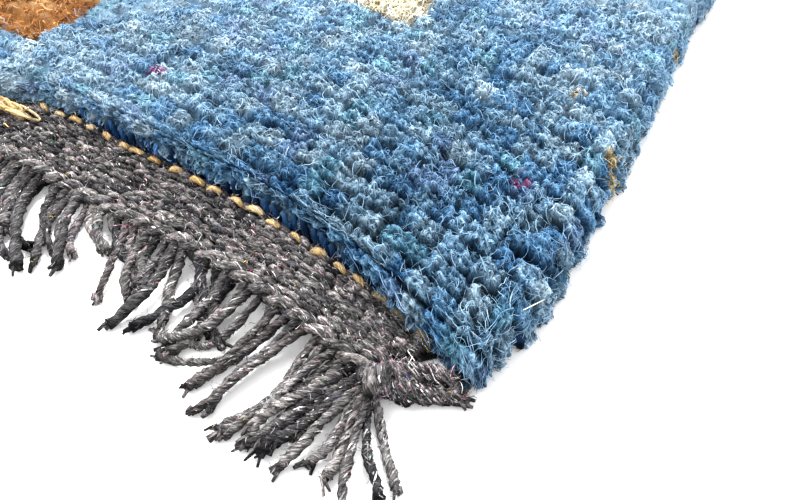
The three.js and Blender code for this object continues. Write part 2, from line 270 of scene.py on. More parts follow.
class Heap:
    """Many small tubes and ribbons that become one mesh."""

    LAYERS = {
        "tint": ("FLOAT_COLOR", "color"),
        "rest": ("FLOAT_VECTOR", "vector"),
        # One layer holds painted light and shade for each point: 1 where fully lit, lower at roots, in
        # crevices and underneath
        "painted_light": ("FLOAT", "value"),
    }

    def __init__(self):
        self.points = []
        self.faces = {}
        self.layers = {name: [] for name in self.LAYERS}
        self.count = 0

    def add(self, points, faces, tint, rest, painted_light):
        """points, tint and rest hold three values for each point, and depth one. faces: arrays whose
        last axis is the numbers of a face's points."""
        self.points.append(points.reshape(-1, 3))
        for name, values in zip(self.LAYERS, (tint.reshape(-1, 3), rest.reshape(-1, 3), painted_light.ravel())):
            self.layers[name].append(values)
        for corners in faces:
            each = corners.shape[-1]
            self.faces.setdefault(each, []).append(corners.reshape(-1, each) + self.count)
        self.count += len(self.points[-1])

    def piece(self, name, material, slot, replaces=()):
        points = np.concatenate(self.points) * MM
        points[:, 2] = np.maximum(points[:, 2], 0)
        groups = [np.concatenate(found) for found in self.faces.values()]
        corners = np.concatenate([g.ravel() for g in groups]).astype(np.int32)
        sizes = np.concatenate([np.full(len(g), g.shape[1]) for g in groups])
        starts = (np.cumsum(sizes) - sizes).astype(np.int32)
        mesh = bpy.data.meshes.new(name)
        mesh.vertices.add(len(points))
        mesh.vertices.foreach_set("co", points.astype(np.float32).ravel())
        mesh.loops.add(len(corners))
        mesh.loops.foreach_set("vertex_index", corners)
        mesh.polygons.add(len(sizes))
        mesh.polygons.foreach_set("loop_start", starts)
        mesh.polygons.foreach_set("use_smooth", np.ones(len(sizes), bool))
        for layer, (kind, field) in self.LAYERS.items():
            values = np.concatenate(self.layers[layer])
            if layer == "tint":
                values = np.concatenate([values, np.ones((len(values), 1))], axis=1)
            made = mesh.attributes.new(layer, kind, "POINT")
            made.data.foreach_set(field, values.astype(np.float32).ravel())
        mesh.update(calc_edges=True)
        piece = bpy.data.objects.new(name, mesh)
        bpy.context.scene.collection.objects.link(piece)
        mesh.materials.append(material)
        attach(piece, "root")
        if replaces:
            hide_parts(*replaces)
        return piece


# How far apart the pieces' wool patterns are moved, so that no two look alike
REST_SCATTER = 900
FIBRE_OFF_FLOOR = 0.12


def unit(vectors):
    return vectors / np.maximum(np.linalg.norm(vectors, axis=-1, keepdims=True), 1e-9)


def carried_frames(centres, rng):
    """Two directions across each centre line that don't twist along it. centres: tube, ring, xyz."""
    along = unit(np.gradient(centres, axis=1))
    side = np.zeros_like(along)
    start = rng.normal(size=(len(centres), 3))
    for ring in range(centres.shape[1]):
        start = unit(start - along[:, ring] * np.sum(start * along[:, ring], axis=1, keepdims=True))
        side[:, ring] = start
    return side, np.cross(along, side)


def run_lengths(centres):
    """How far along its line each centre is."""
    steps = np.linalg.norm(np.diff(centres, axis=1), axis=2)
    return np.concatenate([np.zeros((len(centres), 1)), np.cumsum(steps, axis=1)], axis=1)


def add_tubes(heap, centres, radii, tint, painted_light, rng, sides, lobes=0, lobe_depth=0.0, turns=0.0,
              roughness=0.0, under=0.0):
    """Adds one tube for each row of centres. radii, depth and turns: tube, ring.
    tint: tube, xyz or tube, ring, xyz. lobes, lobe_depth and turns, in radians, make a plied yarn.
    under: how much painted shade darkens a tube's sides and underside."""
    tubes, rings = centres.shape[:2]
    radii, painted_light, turns = [np.broadcast_to(given, (tubes, rings)) for given in (radii, painted_light, turns)]
    side, across = carried_frames(centres, rng)
    angle = 2 * np.pi * np.arange(sides) / sides
    turned = angle + turns[:, :, None]
    reach = radii[:, :, None] * (1 + lobe_depth * np.cos(lobes * angle))
    if roughness:
        reach = reach * (1 + rng.normal(0, roughness, (tubes, rings, sides)))
    u = reach * np.cos(turned)
    v = reach * np.sin(turned)
    points = centres[:, :, None] + u[..., None] * side[:, :, None] + v[..., None] * across[:, :, None]
    length = run_lengths(centres)
    flat_u = radii[:, :, None] * np.cos(angle)
    flat_v = radii[:, :, None] * np.sin(angle)
    rest = np.stack([flat_u, flat_v, np.broadcast_to(length[:, :, None], flat_u.shape)], axis=-1)
    rest = rest + rng.uniform(0, REST_SCATTER, (tubes, 1, 1, 3))
    if tint.ndim == 2:
        tint = np.broadcast_to(tint[:, None], (tubes, rings, 3))
    tints = np.broadcast_to(tint[:, :, None], points.shape)
    faces_up = np.cos(turned) * side[..., 2:3] + np.sin(turned) * across[..., 2:3]
    # Painted shade: darker where the tube's surface faces down
    painted_lights = painted_light[:, :, None] * (1 - under * ease((0.85 - faces_up) / 1.1))
    ring_start = np.arange(tubes * rings).reshape(tubes, rings) * sides
    around = np.arange(sides)
    after = (around + 1) % sides
    low, high = ring_start[:, :-1, None], ring_start[:, 1:, None]
    walls = np.stack([low + around, low + after, high + after, high + around], axis=-1)
    first_end = ring_start[:, 0, None] + around[::-1]
    last_end = ring_start[:, -1, None] + around
    heap.add(points, [walls, last_end, first_end], tints, rest, painted_lights)


def add_ribbons(heap, centres, widths, tint, rng, facing, painted_light=1.0):
    """Adds one thin flat fibre for each row of centres, with its flat side towards facing.
    It tapers to its end."""
    fibres, rings = centres.shape[:2]
    side = unit(np.cross(np.gradient(centres, axis=1), facing))
    t = np.linspace(0, 1, rings)
    share = 0.2 + 0.8 * np.sin(np.pi * np.clip(0.22 + 0.74 * t, 0, 1))
    offset = side * widths[:, None, None] / 2 * share[None, :, None]
    points = np.stack([centres - offset, centres + offset], axis=2)
    length = run_lengths(centres)
    edge = np.array([-0.5, 0.5]) * widths[:, None, None]
    rest = np.stack([np.broadcast_to(edge, points.shape[:3]), np.zeros(points.shape[:3]),
                     np.broadcast_to(length[..., None], points.shape[:3])], axis=-1)
    rest = rest + rng.uniform(0, REST_SCATTER, (fibres, 1, 1, 3))
    if tint.ndim == 2:
        tint = tint[:, None]
    tints = np.broadcast_to(tint[:, :, None], points.shape)
    painted_lights = np.broadcast_to(np.broadcast_to(painted_light, (fibres, rings))[..., None], points.shape[:3])
    start = np.arange(fibres * rings).reshape(fibres, rings) * 2
    low, high = start[:, :-1], start[:, 1:]
    quads = np.stack([low, low + 1, high + 1, high], axis=-1)
    heap.add(points, [quads], tints, rest, painted_lights)


def add_wrapped_fibres(heap, laid, radii, tint, painted_light, rng, each, rings, twist, lift, widths,
                       spread=0.3, palette=None):
    """Adds bundles of fibres that lie along the yarns and turn round them. each: bundles on a yarn.
    twist: radians for each millimetre over the radius. palette: the wool to pick from at every ring,
    in place of the yarn's own tint."""
    yarns, stations = laid.shape[:2]
    painted_light = np.broadcast_to(painted_light, (yarns, stations))
    chosen = np.repeat(np.arange(yarns), each)
    count = len(chosen)
    start = rng.uniform(-0.05, 0.62, (count, 1))
    t = np.linspace(0, 1, rings)
    share = np.clip(start + rng.uniform(0.3, 0.5, (count, 1)) * t, 0, 1)
    place = share * (stations - 1)
    below = np.minimum(place.astype(int), stations - 2)
    part = (place - below)[..., None]
    side, across = carried_frames(laid, rng)
    row = chosen[:, None]
    centre = laid[row, below] * (1 - part) + laid[row, below + 1] * part
    radius = radii[row, below] * (1 - part[..., 0]) + radii[row, below + 1] * part[..., 0]
    steps = np.linalg.norm(np.diff(laid, axis=1), axis=2).sum(axis=1)[chosen][:, None]
    turned = twist * share * steps / radius.mean(axis=1, keepdims=True)
    angle = (rng.uniform(0, 2 * np.pi, (count, 1)) + turned)[..., None]
    outward = np.cos(angle) * side[row, below] + np.sin(angle) * across[row, below]
    arch = np.sin(np.pi * (0.1 + 0.8 * t))
    off = rng.uniform(0.2, 1.0, (count, 1)) * lift * arch
    line = centre + outward * (radius * 0.97 + off)[..., None]
    line[..., 2] = np.maximum(line[..., 2], FIBRE_OFF_FLOOR)
    width = rng.uniform(*widths, count)
    if palette is None:
        own = tint[chosen] if tint.ndim == 2 else tint[row, below]
        own = own * np.exp(rng.normal(0.05, spread, (count,) + (1,) * (own.ndim - 1)))
    else:
        own = picked(rng, palette, count * rings, spread).reshape(count, rings, 3)
    # Painted shade on the wrapped fibres that face down
    shade = painted_light[row, below] * (1 - 0.6 * ease((0.7 - outward[..., 2]) / 1.1))
    add_ribbons(heap, line, width, own, rng, outward, shade)


# Materials

def node(tree, kind, **inputs):
    made = tree.nodes.new(kind)
    for name, value in inputs.items():
        made.inputs[name.replace("_", " ")].default_value = value
    return made


def maths(tree, operation, first, second=None, clamp=False):
    made = tree.nodes.new("ShaderNodeMath")
    made.operation = operation
    made.use_clamp = clamp
    for place, value in enumerate([first, second]):
        if value is None:
            continue
        if isinstance(value, (int, float)):
            made.inputs[place].default_value = value
        else:
            tree.links.new(value, made.inputs[place])
    return made.outputs[0]


def attribute(tree, name, output):
    made = tree.nodes.new("ShaderNodeAttribute")
    made.attribute_name = name
    return made.outputs[output]


def streaks(tree, across, along, distortion, detail):
    """Noise drawn out along the yarn. across and along are the fibres' sizes in millimetres."""
    mapping = node(tree, "ShaderNodeMapping", Scale=(1 / across, 1 / across, 1 / along))
    tree.links.new(attribute(tree, "rest", "Vector"), mapping.inputs["Vector"])
    noise = node(tree, "ShaderNodeTexNoise", Scale=1.0, Detail=detail, Distortion=distortion,
                 Roughness=0.62)
    tree.links.new(mapping.outputs[0], noise.inputs["Vector"])
    return noise.outputs["Fac"]


def scaled_colour(tree, colour, factor):
    made = tree.nodes.new("ShaderNodeVectorMath")
    made.operation = "SCALE"
    tree.links.new(colour, made.inputs[0])
    tree.links.new(factor, made.inputs["Scale"])
    return made.outputs[0]


WOOL_ROUGHNESS = 0.88
WOOL_SPECULAR = 0.01
WOOL_SHEEN_ROUGHNESS = 0.45
FINE_SHARE = 0.62
STREAK_STRENGTH = 2.4


def wool(name, fibre, clump, contrast, root_shade, relief, deepening=0.9, distortion=1.2, sheen=0.03,
         brightest=3.0):
    """Yarn whose colour is the tint layer, streaked along its fibres, and darkened with painted shade
    towards its root, where by deepening it is also more strongly coloured."""
    made = bpy.data.materials.new(name)
    made.use_nodes = True
    tree = made.node_tree
    shader = tree.nodes["Principled BSDF"]
    shader.inputs["Roughness"].default_value = WOOL_ROUGHNESS
    shader.inputs["Specular IOR Level"].default_value = WOOL_SPECULAR
    shader.inputs["Sheen Weight"].default_value = sheen
    shader.inputs["Sheen Roughness"].default_value = WOOL_SHEEN_ROUGHNESS
    fine = streaks(tree, fibre[0], fibre[1], distortion, 3.0)
    coarse = streaks(tree, clump[0], clump[1], distortion, 1.0)
    fine_part = maths(tree, "MULTIPLY", fine, FINE_SHARE)
    coarse_part = maths(tree, "MULTIPLY", coarse, 1 - FINE_SHARE)
    both = maths(tree, "ADD", fine_part, coarse_part)
    spread = maths(tree, "MULTIPLY", maths(tree, "SUBTRACT", both, 0.5), 2 * contrast)
    light = maths(tree, "POWER", 2.718, maths(tree, "MULTIPLY", spread, STREAK_STRENGTH))
    light = maths(tree, "MINIMUM", light, brightest)
    # Painted shade from the mesh's layer: darker, and by deepening more strongly coloured, towards the
    # root
    painted_light = attribute(tree, "painted_light", "Fac")
    shade = maths(tree, "ADD", maths(tree, "MULTIPLY", painted_light, 1 - root_shade), root_shade)
    colour = attribute(tree, "tint", "Color")
    deepened = tree.nodes.new("ShaderNodeGamma")
    tree.links.new(colour, deepened.inputs["Color"])
    tree.links.new(maths(tree, "SUBTRACT", 1 + deepening, maths(tree, "MULTIPLY", painted_light, deepening)),
                   deepened.inputs["Gamma"])
    result = scaled_colour(tree, deepened.outputs[0], maths(tree, "MULTIPLY", light, shade))
    tree.links.new(result, shader.inputs["Base Color"])
    bump = node(tree, "ShaderNodeBump", Strength=0.9, Distance=relief * MM)
    tree.links.new(both, bump.inputs["Height"])
    tree.links.new(bump.outputs[0], shader.inputs["Normal"])
    return made


PILE_WOOL = wool("pile_wool", fibre=(0.2, 1.6), clump=(0.8, 3.0), contrast=0.45, root_shade=0.12,
                 relief=0.2, deepening=1.9, brightest=1.12)
PILE_BODY_WOOL = wool("pile_body", fibre=(0.5, 0.5), clump=(1.6, 1.6), contrast=1.0, root_shade=0.08,
                      relief=1.0, deepening=1.7, distortion=2.2, sheen=0.02, brightest=1.15)
FIBRE_WOOL = wool("loose_fibre", fibre=(0.5, 3.0), clump=(2.0, 6.0), contrast=0.2, root_shade=1.0,
                  relief=0.05)
BAND_WOOL = wool("band_wool", fibre=(0.55, 1.7), clump=(1.4, 3.2), contrast=2.5, root_shade=0.02,
                 relief=0.6, deepening=0.1, sheen=0.02, brightest=3.4)
FRINGE_WOOL = wool("fringe_wool", fibre=(0.5, 2.0), clump=(1.3, 4.0), contrast=2.4, root_shade=0.08,
                   relief=0.6, deepening=0.1, sheen=0.02, brightest=3.4)
TWINING_WOOL = wool("twining_wool", fibre=(0.4, 2.4), clump=(1.0, 4.0), contrast=1.0, root_shade=0.3,
                    relief=0.4)


# Where the pile's coloured blocks lie, squared up: lowest and highest X, lowest and highest Y
RUST_BLOCKS = [(-150, 28, -402, -205)]
CREAM_BLOCKS = [(22, 174, -297, -130)]


def in_blocks(x, y, blocks):
    """True inside a block, or inside its copy turned half round about the rug's middle."""
    found = np.zeros(np.shape(x), bool)
    for low_x, high_x, low_y, high_y in blocks:
        found |= (x > low_x) & (x < high_x) & (y > low_y) & (y < high_y)
        found |= (-x > low_x) & (-x < high_x) & (-y > low_y) & (-y < high_y)
    return found


# Pile

KNOT_COLUMNS = 61
KNOT_ROWS = 84
KNOT_PITCH_X = 2 * PILE_HALF_WIDTH / KNOT_COLUMNS
KNOT_PITCH_Y = 2 * PILE_HALF_LENGTH / KNOT_ROWS
PILE_HEIGHT = 18.2
CREVICE_DEPTH = 4.2
PIECE_LIMIT = 190000

# Away from the near corner painted light pales the pile's colour and lifts its painted crevice shade,
# and its crevices are shallower
FLAT_AND_LIT_FROM = 40
FLAT_AND_LIT_OVER = 220
CREVICE_SHADE_LIFT = 0.52
PAINTED_PALENESS = 0.14
FLATTENING = 0.55
# Further on still, less of that painted light and flattening is given, and the body, with fewer loose
# fibres over it, is darkened with painted shade
OUTER_SHADE_FROM = 285
OUTER_SHADE_OVER = 240
OUTER_BODY_SHADE = 0.36
FLAT_AND_LIT_TAKEN_BACK = 0.7
# Painted shade on the knots, darkest at the near corner
CORNER_SHADE = 0.22
CORNER_SHADE_REACH = 60

# Tufts stand in a square for each knot, drawn in towards its middle. The field runs on past the edges.
TUFTS_ACROSS = 3
TUFT_DRAWN_IN = (0.95, 0.8)
TUFT_RADIUS = 1.8
TUFT_PITCH_X = KNOT_PITCH_X / TUFTS_ACROSS
TUFT_PITCH_Y = KNOT_PITCH_Y / TUFTS_ACROSS
KNOT_MARGIN = 2

# How far knots and tufts stand from their even places, and how their heights vary
KNOT_SCATTER = 0.45
TUFT_SCATTER = (0.55, 0.45)
KNOT_LIFT = 0.35
ROW_LIFT = 0.6
TUFT_LIFT = 0.4
LUMP_SIZE = 4.6
LUMP_RISE = 0.9
RELIEF_SIZE = 1.9
RELIEF_RISE = 0.6
# How steeply a tuft falls away, and how much it is drawn out across the rug, less so at the sides
STEEPNESS = (0.6, 0.95)
STRETCH = 0.84
SIDE_STRETCH = 0.45
SIDE_TUFTS_WITHIN = 7
# Which way the tufts' fibres lie and how they turn, in radians
LIE = -np.pi / 2
LIE_SPREAD = 0.75
SWIRL_SIZE = 23.0
SWIRL = 0.6
TURN_SPREAD = 1.3
# How colours vary between tufts, and how much painted shade darkens the low ones
TUFT_TINT_SPREAD = 0.08
HOLLOW_SHADE = 0.42
HOLLOW_FROM = 0.6
HOLLOW_OVER = 3.4

# The pile's sheet starts to bend down this far inside its outline, and its length from there
BEND_INSET = 5.0
BEND_LENGTH = 19.0
BEND_ANGLE = 1.8
SIDE_REACH = 9.5
SIDE_DROP = 14.0
HEM_REACH = 3.4
HEM_DROP = 10.4
# Where the hem's locks hang furthest over the band
HEM_BULGE = 12.0
HEM_BULGE_MIDDLE = 36
HEM_BULGE_HALF_WIDTH = 30
# The hem hangs further over the band towards the near corner, from this X and over this width
CORNER_HEM_FROM = 205
CORNER_HEM_OVER = 60
CORNER_HEM_REACH = 7.5
CORNER_HEM_DROP = 3.0
# The side is drawn in at the near corner, from this far along the rug and over this length
DRAWN_IN = 5.0
DRAWN_IN_FROM = 385
DRAWN_IN_OVER = 35


def rounded(x, y, half_x, half_y, radius):
    """Draws the corners of a square grid in to a rounded outline."""
    over_x = np.abs(x) - (half_x - radius)
    over_y = np.abs(y) - (half_y - radius)
    corner = (over_x > 0) & (over_y > 0)
    longest = np.maximum(np.maximum(over_x, over_y), 1e-6)
    pull = np.where(corner, longest / np.maximum(np.hypot(over_x, over_y), 1e-6), 1)
    moved_x = np.where(corner, np.sign(x) * (half_x - radius + over_x * pull), x)
    moved_y = np.where(corner, np.sign(y) * (half_y - radius + over_y * pull), y)
    return moved_x, moved_y


def edge_frame(x, y):
    """How far inside the pile's rounded outline a place is, and the way out to the nearest edge."""
    over_x = np.abs(x) - (PILE_HALF_WIDTH - PILE_CORNER_RADIUS)
    over_y = np.abs(y) - (PILE_HALF_LENGTH - PILE_CORNER_RADIUS)
    beyond_x = np.maximum(over_x, 0)
    beyond_y = np.maximum(over_y, 0)
    beyond = np.hypot(beyond_x, beyond_y)
    inside = PILE_CORNER_RADIUS - beyond - np.minimum(np.maximum(over_x, over_y), 0)
    inner = beyond == 0
    way_x = np.where(inner, over_x >= over_y, beyond_x / np.maximum(beyond, 1e-9)) * np.sign(x)
    way_y = np.where(inner, over_x < over_y, beyond_y / np.maximum(beyond, 1e-9)) * np.sign(y)
    return inside, way_x, way_y


def bent(x, y, height):
    """Places on the pile's sheet, with their height over it, bent down round the pile's edges."""
    inside, way_x, way_y = edge_frame(x, y)
    past = np.maximum(BEND_INSET - inside, 0)
    to_side = way_x ** 2
    near_corner = ease((x - CORNER_HEM_FROM) / CORNER_HEM_OVER) * (y < 0)
    bulge = HEM_BULGE * np.exp(-(((x - HEM_BULGE_MIDDLE) / HEM_BULGE_HALF_WIDTH) ** 2)) * (y < 0)
    hem_reach = HEM_REACH + CORNER_HEM_REACH * near_corner + bulge
    side_reach = SIDE_REACH - DRAWN_IN * ease((-y - DRAWN_IN_FROM) / DRAWN_IN_OVER) * (x > 0)
    reach = side_reach * to_side + hem_reach * (1 - to_side)
    drop = SIDE_DROP * to_side + (HEM_DROP + CORNER_HEM_DROP * near_corner) * (1 - to_side)
    angle = BEND_ANGLE * np.minimum(past / BEND_LENGTH, 1)
    out = reach * np.sin(angle) - past
    down = drop * (1 - np.cos(angle))
    over = height - PILE_HEIGHT
    out = out + over * np.sin(angle)
    z = PILE_HEIGHT - down + over * np.cos(angle)
    return np.stack([x + way_x * out, y + way_y * out, z], axis=-1)


def hummocks(x, y):
    """Slow rises and hollows of the pile's top."""
    slow = np.sin(x / 31 + 1.3 * np.sin(y / 57)) * np.sin(y / 37 + 0.8)
    quick = np.sin(x / 13.7 + y / 29 + 2.1) * np.sin(y / 9.1 - x / 41)
    return 0.7 * slow + 0.6 * quick


class Blotches:
    """Smooth random values over the pile, in patches about cell millimetres wide."""

    MARGIN = 60

    def __init__(self, rng, cell):
        self.cell = cell
        self.reach = (PILE_HALF_WIDTH + self.MARGIN, PILE_HALF_LENGTH + self.MARGIN)
        shape = [int(2 * reach / cell) + 3 for reach in self.reach]
        self.values = rng.normal(0, 1, shape)

    def at(self, x, y):
        u = (x + self.reach[0]) / self.cell
        v = (y + self.reach[1]) / self.cell
        i = np.clip(u.astype(int), 0, self.values.shape[0] - 2)
        j = np.clip(v.astype(int), 0, self.values.shape[1] - 2)
        a = ease(u - i)
        b = ease(v - j)
        low = self.values[i, j] * (1 - a) + self.values[i + 1, j] * a
        high = self.values[i, j + 1] * (1 - a) + self.values[i + 1, j + 1] * a
        return low * (1 - b) + high * b


# Tufts of other wool in the blue: place from the corner, radius and colour
ODD_TUFTS = [
    (-37, 151, 3.4, (236, 226, 200)),
    (-6, 119, 4.2, (214, 190, 140)),
    (1, 112, 3.4, (196, 170, 118)),
    (0, 188, 3.2, (232, 222, 190)),
    (-8, 219, 3.0, (206, 182, 140)),
    (-203, 66, 3.4, (150, 84, 128)),
    (-31, 84, 2.6, (150, 84, 120)),
]


def from_near_corner(x, y):
    return np.hypot(x - PILE_HALF_WIDTH, y + PILE_HALF_LENGTH)


def outer_shade_share(x, y):
    return ease((from_near_corner(x, y) - OUTER_SHADE_FROM) / OUTER_SHADE_OVER)


# How much painted light and flattening the pile gets, growing away from the near corner and waning again
# further out
def flat_and_lit_share(x, y):
    flat_and_lit = ease((from_near_corner(x, y) - FLAT_AND_LIT_FROM) / FLAT_AND_LIT_OVER)
    return flat_and_lit * (1 - FLAT_AND_LIT_TAKEN_BACK * outer_shade_share(x, y))


class Tufts:
    """The pile's top, a field of small domes, in a square of them for each knot."""

    def __init__(self, rng):
        columns = KNOT_COLUMNS + 2 * KNOT_MARGIN
        rows = KNOT_ROWS + 2 * KNOT_MARGIN
        each = TUFTS_ACROSS
        column, row = np.meshgrid(np.arange(each * columns), np.arange(each * rows), indexing="ij")
        self.shape = column.shape
        self.low_x = -columns * KNOT_PITCH_X / 2
        self.low_y = -rows * KNOT_PITCH_Y / 2
        knot = (column // each) * rows + row // each
        knots = columns * rows
        knot_x = self.low_x + (column // each + 0.5) * KNOT_PITCH_X
        knot_y = self.low_y + (row // each + 0.5) * KNOT_PITCH_Y
        aside = rng.normal(0, KNOT_SCATTER, (knots, 2))[knot]
        from_middle = (each - 1) / 2
        off_x = (column % each - from_middle) * TUFT_PITCH_X * TUFT_DRAWN_IN[0]
        off_y = (row % each - from_middle) * TUFT_PITCH_Y * TUFT_DRAWN_IN[1]
        self.x = knot_x + aside[..., 0] + off_x + rng.normal(0, TUFT_SCATTER[0], self.shape)
        self.y = knot_y + aside[..., 1] + off_y + rng.normal(0, TUFT_SCATTER[1], self.shape)
        lift = rng.normal(0, KNOT_LIFT, knots)[knot] + rng.normal(0, ROW_LIFT, rows)[row // each]
        lumps = LUMP_RISE * Blotches(rng, LUMP_SIZE).at(self.x, self.y)
        self.top = PILE_HEIGHT + hummocks(self.x, self.y) + lift + lumps
        self.top = self.top + rng.normal(0, TUFT_LIFT, self.shape)
        self.steep = rng.uniform(*STEEPNESS, self.shape)
        swirl = Blotches(rng, SWIRL_SIZE).at(self.x, self.y)
        self.heading = LIE + SWIRL * swirl + rng.normal(0, LIE_SPREAD, self.shape)
        self.turn = rng.normal(0, TURN_SPREAD, self.shape)
        self.relief = Blotches(rng, RELIEF_SIZE)
        inside, _, _ = edge_frame(self.x, self.y)
        at_side = np.abs(self.x) > PILE_HALF_WIDTH - SIDE_TUFTS_WITHIN
        self.stretch = np.where(at_side, SIDE_STRETCH, STRETCH)
        knot_tint = colour_of_knots(rng, knot_x[::each, ::each].ravel(), knot_y[::each, ::each].ravel())
        self.tint = knot_tint[knot] * np.exp(rng.normal(0, TUFT_TINT_SPREAD, (*self.shape, 1)))
        laid_x, laid_y = lay(self.x, self.y)
        for corner_x, corner_y, radius, rgb in ODD_TUFTS:
            off = np.hypot(laid_x - CORNER[0] - corner_x, laid_y - CORNER[1] - corner_y)
            self.tint[off < radius] = linear(rgb)
        # Painted shade on the tufts that stand low
        self.light = 1 - HOLLOW_SHADE * ease((PILE_HEIGHT + HOLLOW_FROM - self.top) / HOLLOW_OVER)
        self.there = (inside > BEND_INSET - BEND_LENGTH).astype(float)

    def places(self, chosen):
        return np.stack([self.x.ravel()[chosen], self.y.ravel()[chosen]], axis=-1)

    def at(self, x, y):
        """Height of the pile's top, its painted light and shade there from 0 to 1, and its tuft's
        number.
        """
        column = np.floor((x - self.low_x) / TUFT_PITCH_X).astype(int)
        row = np.floor((y - self.low_y) / TUFT_PITCH_Y).astype(int)
        height = np.full(x.shape, -np.inf)
        owner = np.zeros(x.shape, int)
        for step_x in (-1, 0, 1):
            for step_y in (-1, 0, 1):
                c = np.clip(column + step_x, 0, self.shape[0] - 1)
                r = np.clip(row + step_y, 0, self.shape[1] - 1)
                away = ((x - self.x[c, r]) * self.stretch[c, r]) ** 2 + (y - self.y[c, r]) ** 2
                dome = self.top[c, r] - self.steep[c, r] * away
                owner = np.where(dome > height, c * self.shape[1] + r, owner)
                height = np.maximum(height, dome)
        top = self.top.ravel()[owner]
        flat_and_lit = flat_and_lit_share(x, y)
        height = np.maximum(height, top - CREVICE_DEPTH * (1 - FLATTENING * flat_and_lit))
        # Painted shade in the crevices and on the low tufts, and painted light on the raised relief
        light = (1 - ((top - height) / CREVICE_DEPTH) ** 0.8) * self.light.ravel()[owner]
        relief = self.relief.at(x, y) * (1 - FLATTENING * flat_and_lit)
        light = light * np.clip(0.9 + 0.12 * relief, 0, 1.1)
        # Painted light lifts the crevice shade away from the near corner
        return height + RELIEF_RISE * relief, light + CREVICE_SHADE_LIFT * flat_and_lit * (1 - light), owner


def colour_of_knots(rng, x, y):
    tint = picked(rng, BLUES, len(x), 0.1)
    rust = in_blocks(x, y, RUST_BLOCKS)
    cream = in_blocks(x, y, CREAM_BLOCKS)
    tint[rust] = picked(rng, RUSTS, np.count_nonzero(rust))
    tint[cream] = CREAM_LIGHT * picked(rng, CREAMS, np.count_nonzero(cream))
    # Painted light pales the knots away from the near corner
    painted_paleness = (PAINTED_PALENESS * flat_and_lit_share(x, y) * ~(rust | cream))[:, None]
    tint = tint * (1 - painted_paleness) + PALE_BLUE * painted_paleness
    # Painted shade, darkest at the near corner
    tint = tint * (1 - CORNER_SHADE * np.exp(-from_near_corner(x, y) / CORNER_SHADE_REACH))[:, None]
    bands = 1 + 0.08 * np.sin(y / 46 + 0.9 * np.sin(x / 120)) + 0.06 * np.sin(y / 17 + x / 90)
    return tint * bands[:, None]


def graded_lines(half, near_side, count, first_share):
    """Grid lines that stand closer together towards one side."""
    t = np.linspace(0, 1, count + 1)
    return near_side * half * (1 - 2 * (first_share * t + (1 - first_share) * t ** 2))


BODY_COLUMNS = 250
BODY_ROWS = 310
BODY_SINK = 0.5
BODY_SHADE = 0.85


def make_pile_body(tufts):
    """The pile's body under its loose fibres."""
    rng = np.random.default_rng(BODY_SEED)
    grown = BEND_LENGTH - BEND_INSET
    half_x = PILE_HALF_WIDTH + grown
    half_y = PILE_HALF_LENGTH + grown
    line_x = graded_lines(half_x, 1, BODY_COLUMNS, 0.6)[::-1]
    line_y = graded_lines(half_y, -1, BODY_ROWS, 0.54)
    grid_x, grid_y = np.meshgrid(line_x, line_y, indexing="ij")
    x, y = rounded(grid_x, grid_y, half_x, half_y, PILE_CORNER_RADIUS + grown)
    height, light, owner = tufts.at(x, y)
    points = bent(x, y, height - BODY_SINK + rng.normal(0, 0.12, x.shape))
    # Painted shade: the body under the loose fibres is darker, and darker still further out
    shade = BODY_SHADE - OUTER_BODY_SHADE * outer_shade_share(x, y)
    tint = softened(tufts.tint.reshape(-1, 3)[owner]) * shade[..., None]
    rest = np.stack([x, y, height], axis=-1)
    laid = to_frame(points)
    half = BODY_ROWS // 2
    pieces = []
    for number, (first, last) in enumerate([(0, half), (half, BODY_ROWS)], start=1):
        heap = Heap()
        part = (slice(None), slice(first, last + 1))
        index = np.arange((BODY_COLUMNS + 1) * (last - first + 1)).reshape(BODY_COLUMNS + 1, -1)
        faces = np.stack([index[:-1, :-1], index[1:, :-1], index[1:, 1:], index[:-1, 1:]], axis=-1)
        heap.add(laid[part], [faces], tint[part], rest[part], light[part])
        pieces.append(heap.piece(f"pile_body_{number}", PILE_BODY_WOOL, "pile", ["pile"]))
    return pieces


def chosen_tufts(rng, tufts, count, floor_share, farthest):
    """Tuft numbers, more of them where the camera sees the pile from close by."""
    x = tufts.x.ravel()
    y = tufts.y.ravel()
    seen, away = in_picture(x, y, PILE_HEIGHT)
    weight = (floor_share + seen * (CLOSE / away) ** 2 * (away < farthest)) * tufts.there.ravel()
    return rng.choice(len(x), size=count, p=weight / weight.sum()), away


def headings(bearing):
    return np.stack([np.cos(bearing), np.sin(bearing)], axis=-1)


def curled(root, bearing, length):
    """Lines of equal steps over the pile, from each root, by the bearing of every step."""
    step = (length / (bearing.shape[1] - 1))[:, None, None] * headings(bearing)
    return root[:, None] + np.cumsum(step, axis=1) - step[:, :1]


# Loose fibres: how many, rings, the share spread evenly, how far off the last are, widths, lengths
FIBRE_SORTS = [
    (43000, 5, 0.0, 430, (0.26, 0.56), (1.7, 3.6)),
    (32000, 3, 0.35, 2000, (0.42, 0.8), (1.8, 3.8)),
]
PALE_FIBRES = 0.07
SMALL_MOTTLE_SIZE = 2.2
BROAD_MOTTLE_SIZE = 7.0
FIBRE_SWIRL_SIZE = 3.4
# Fibres this near the pile's edge lean out over it
LEAN_OUT_WITHIN = 12
# How many times as thick the fibres and the strays farthest from the camera are
THICKEST_FIBRE = 2.2
THICKEST_STRAY = 1.8


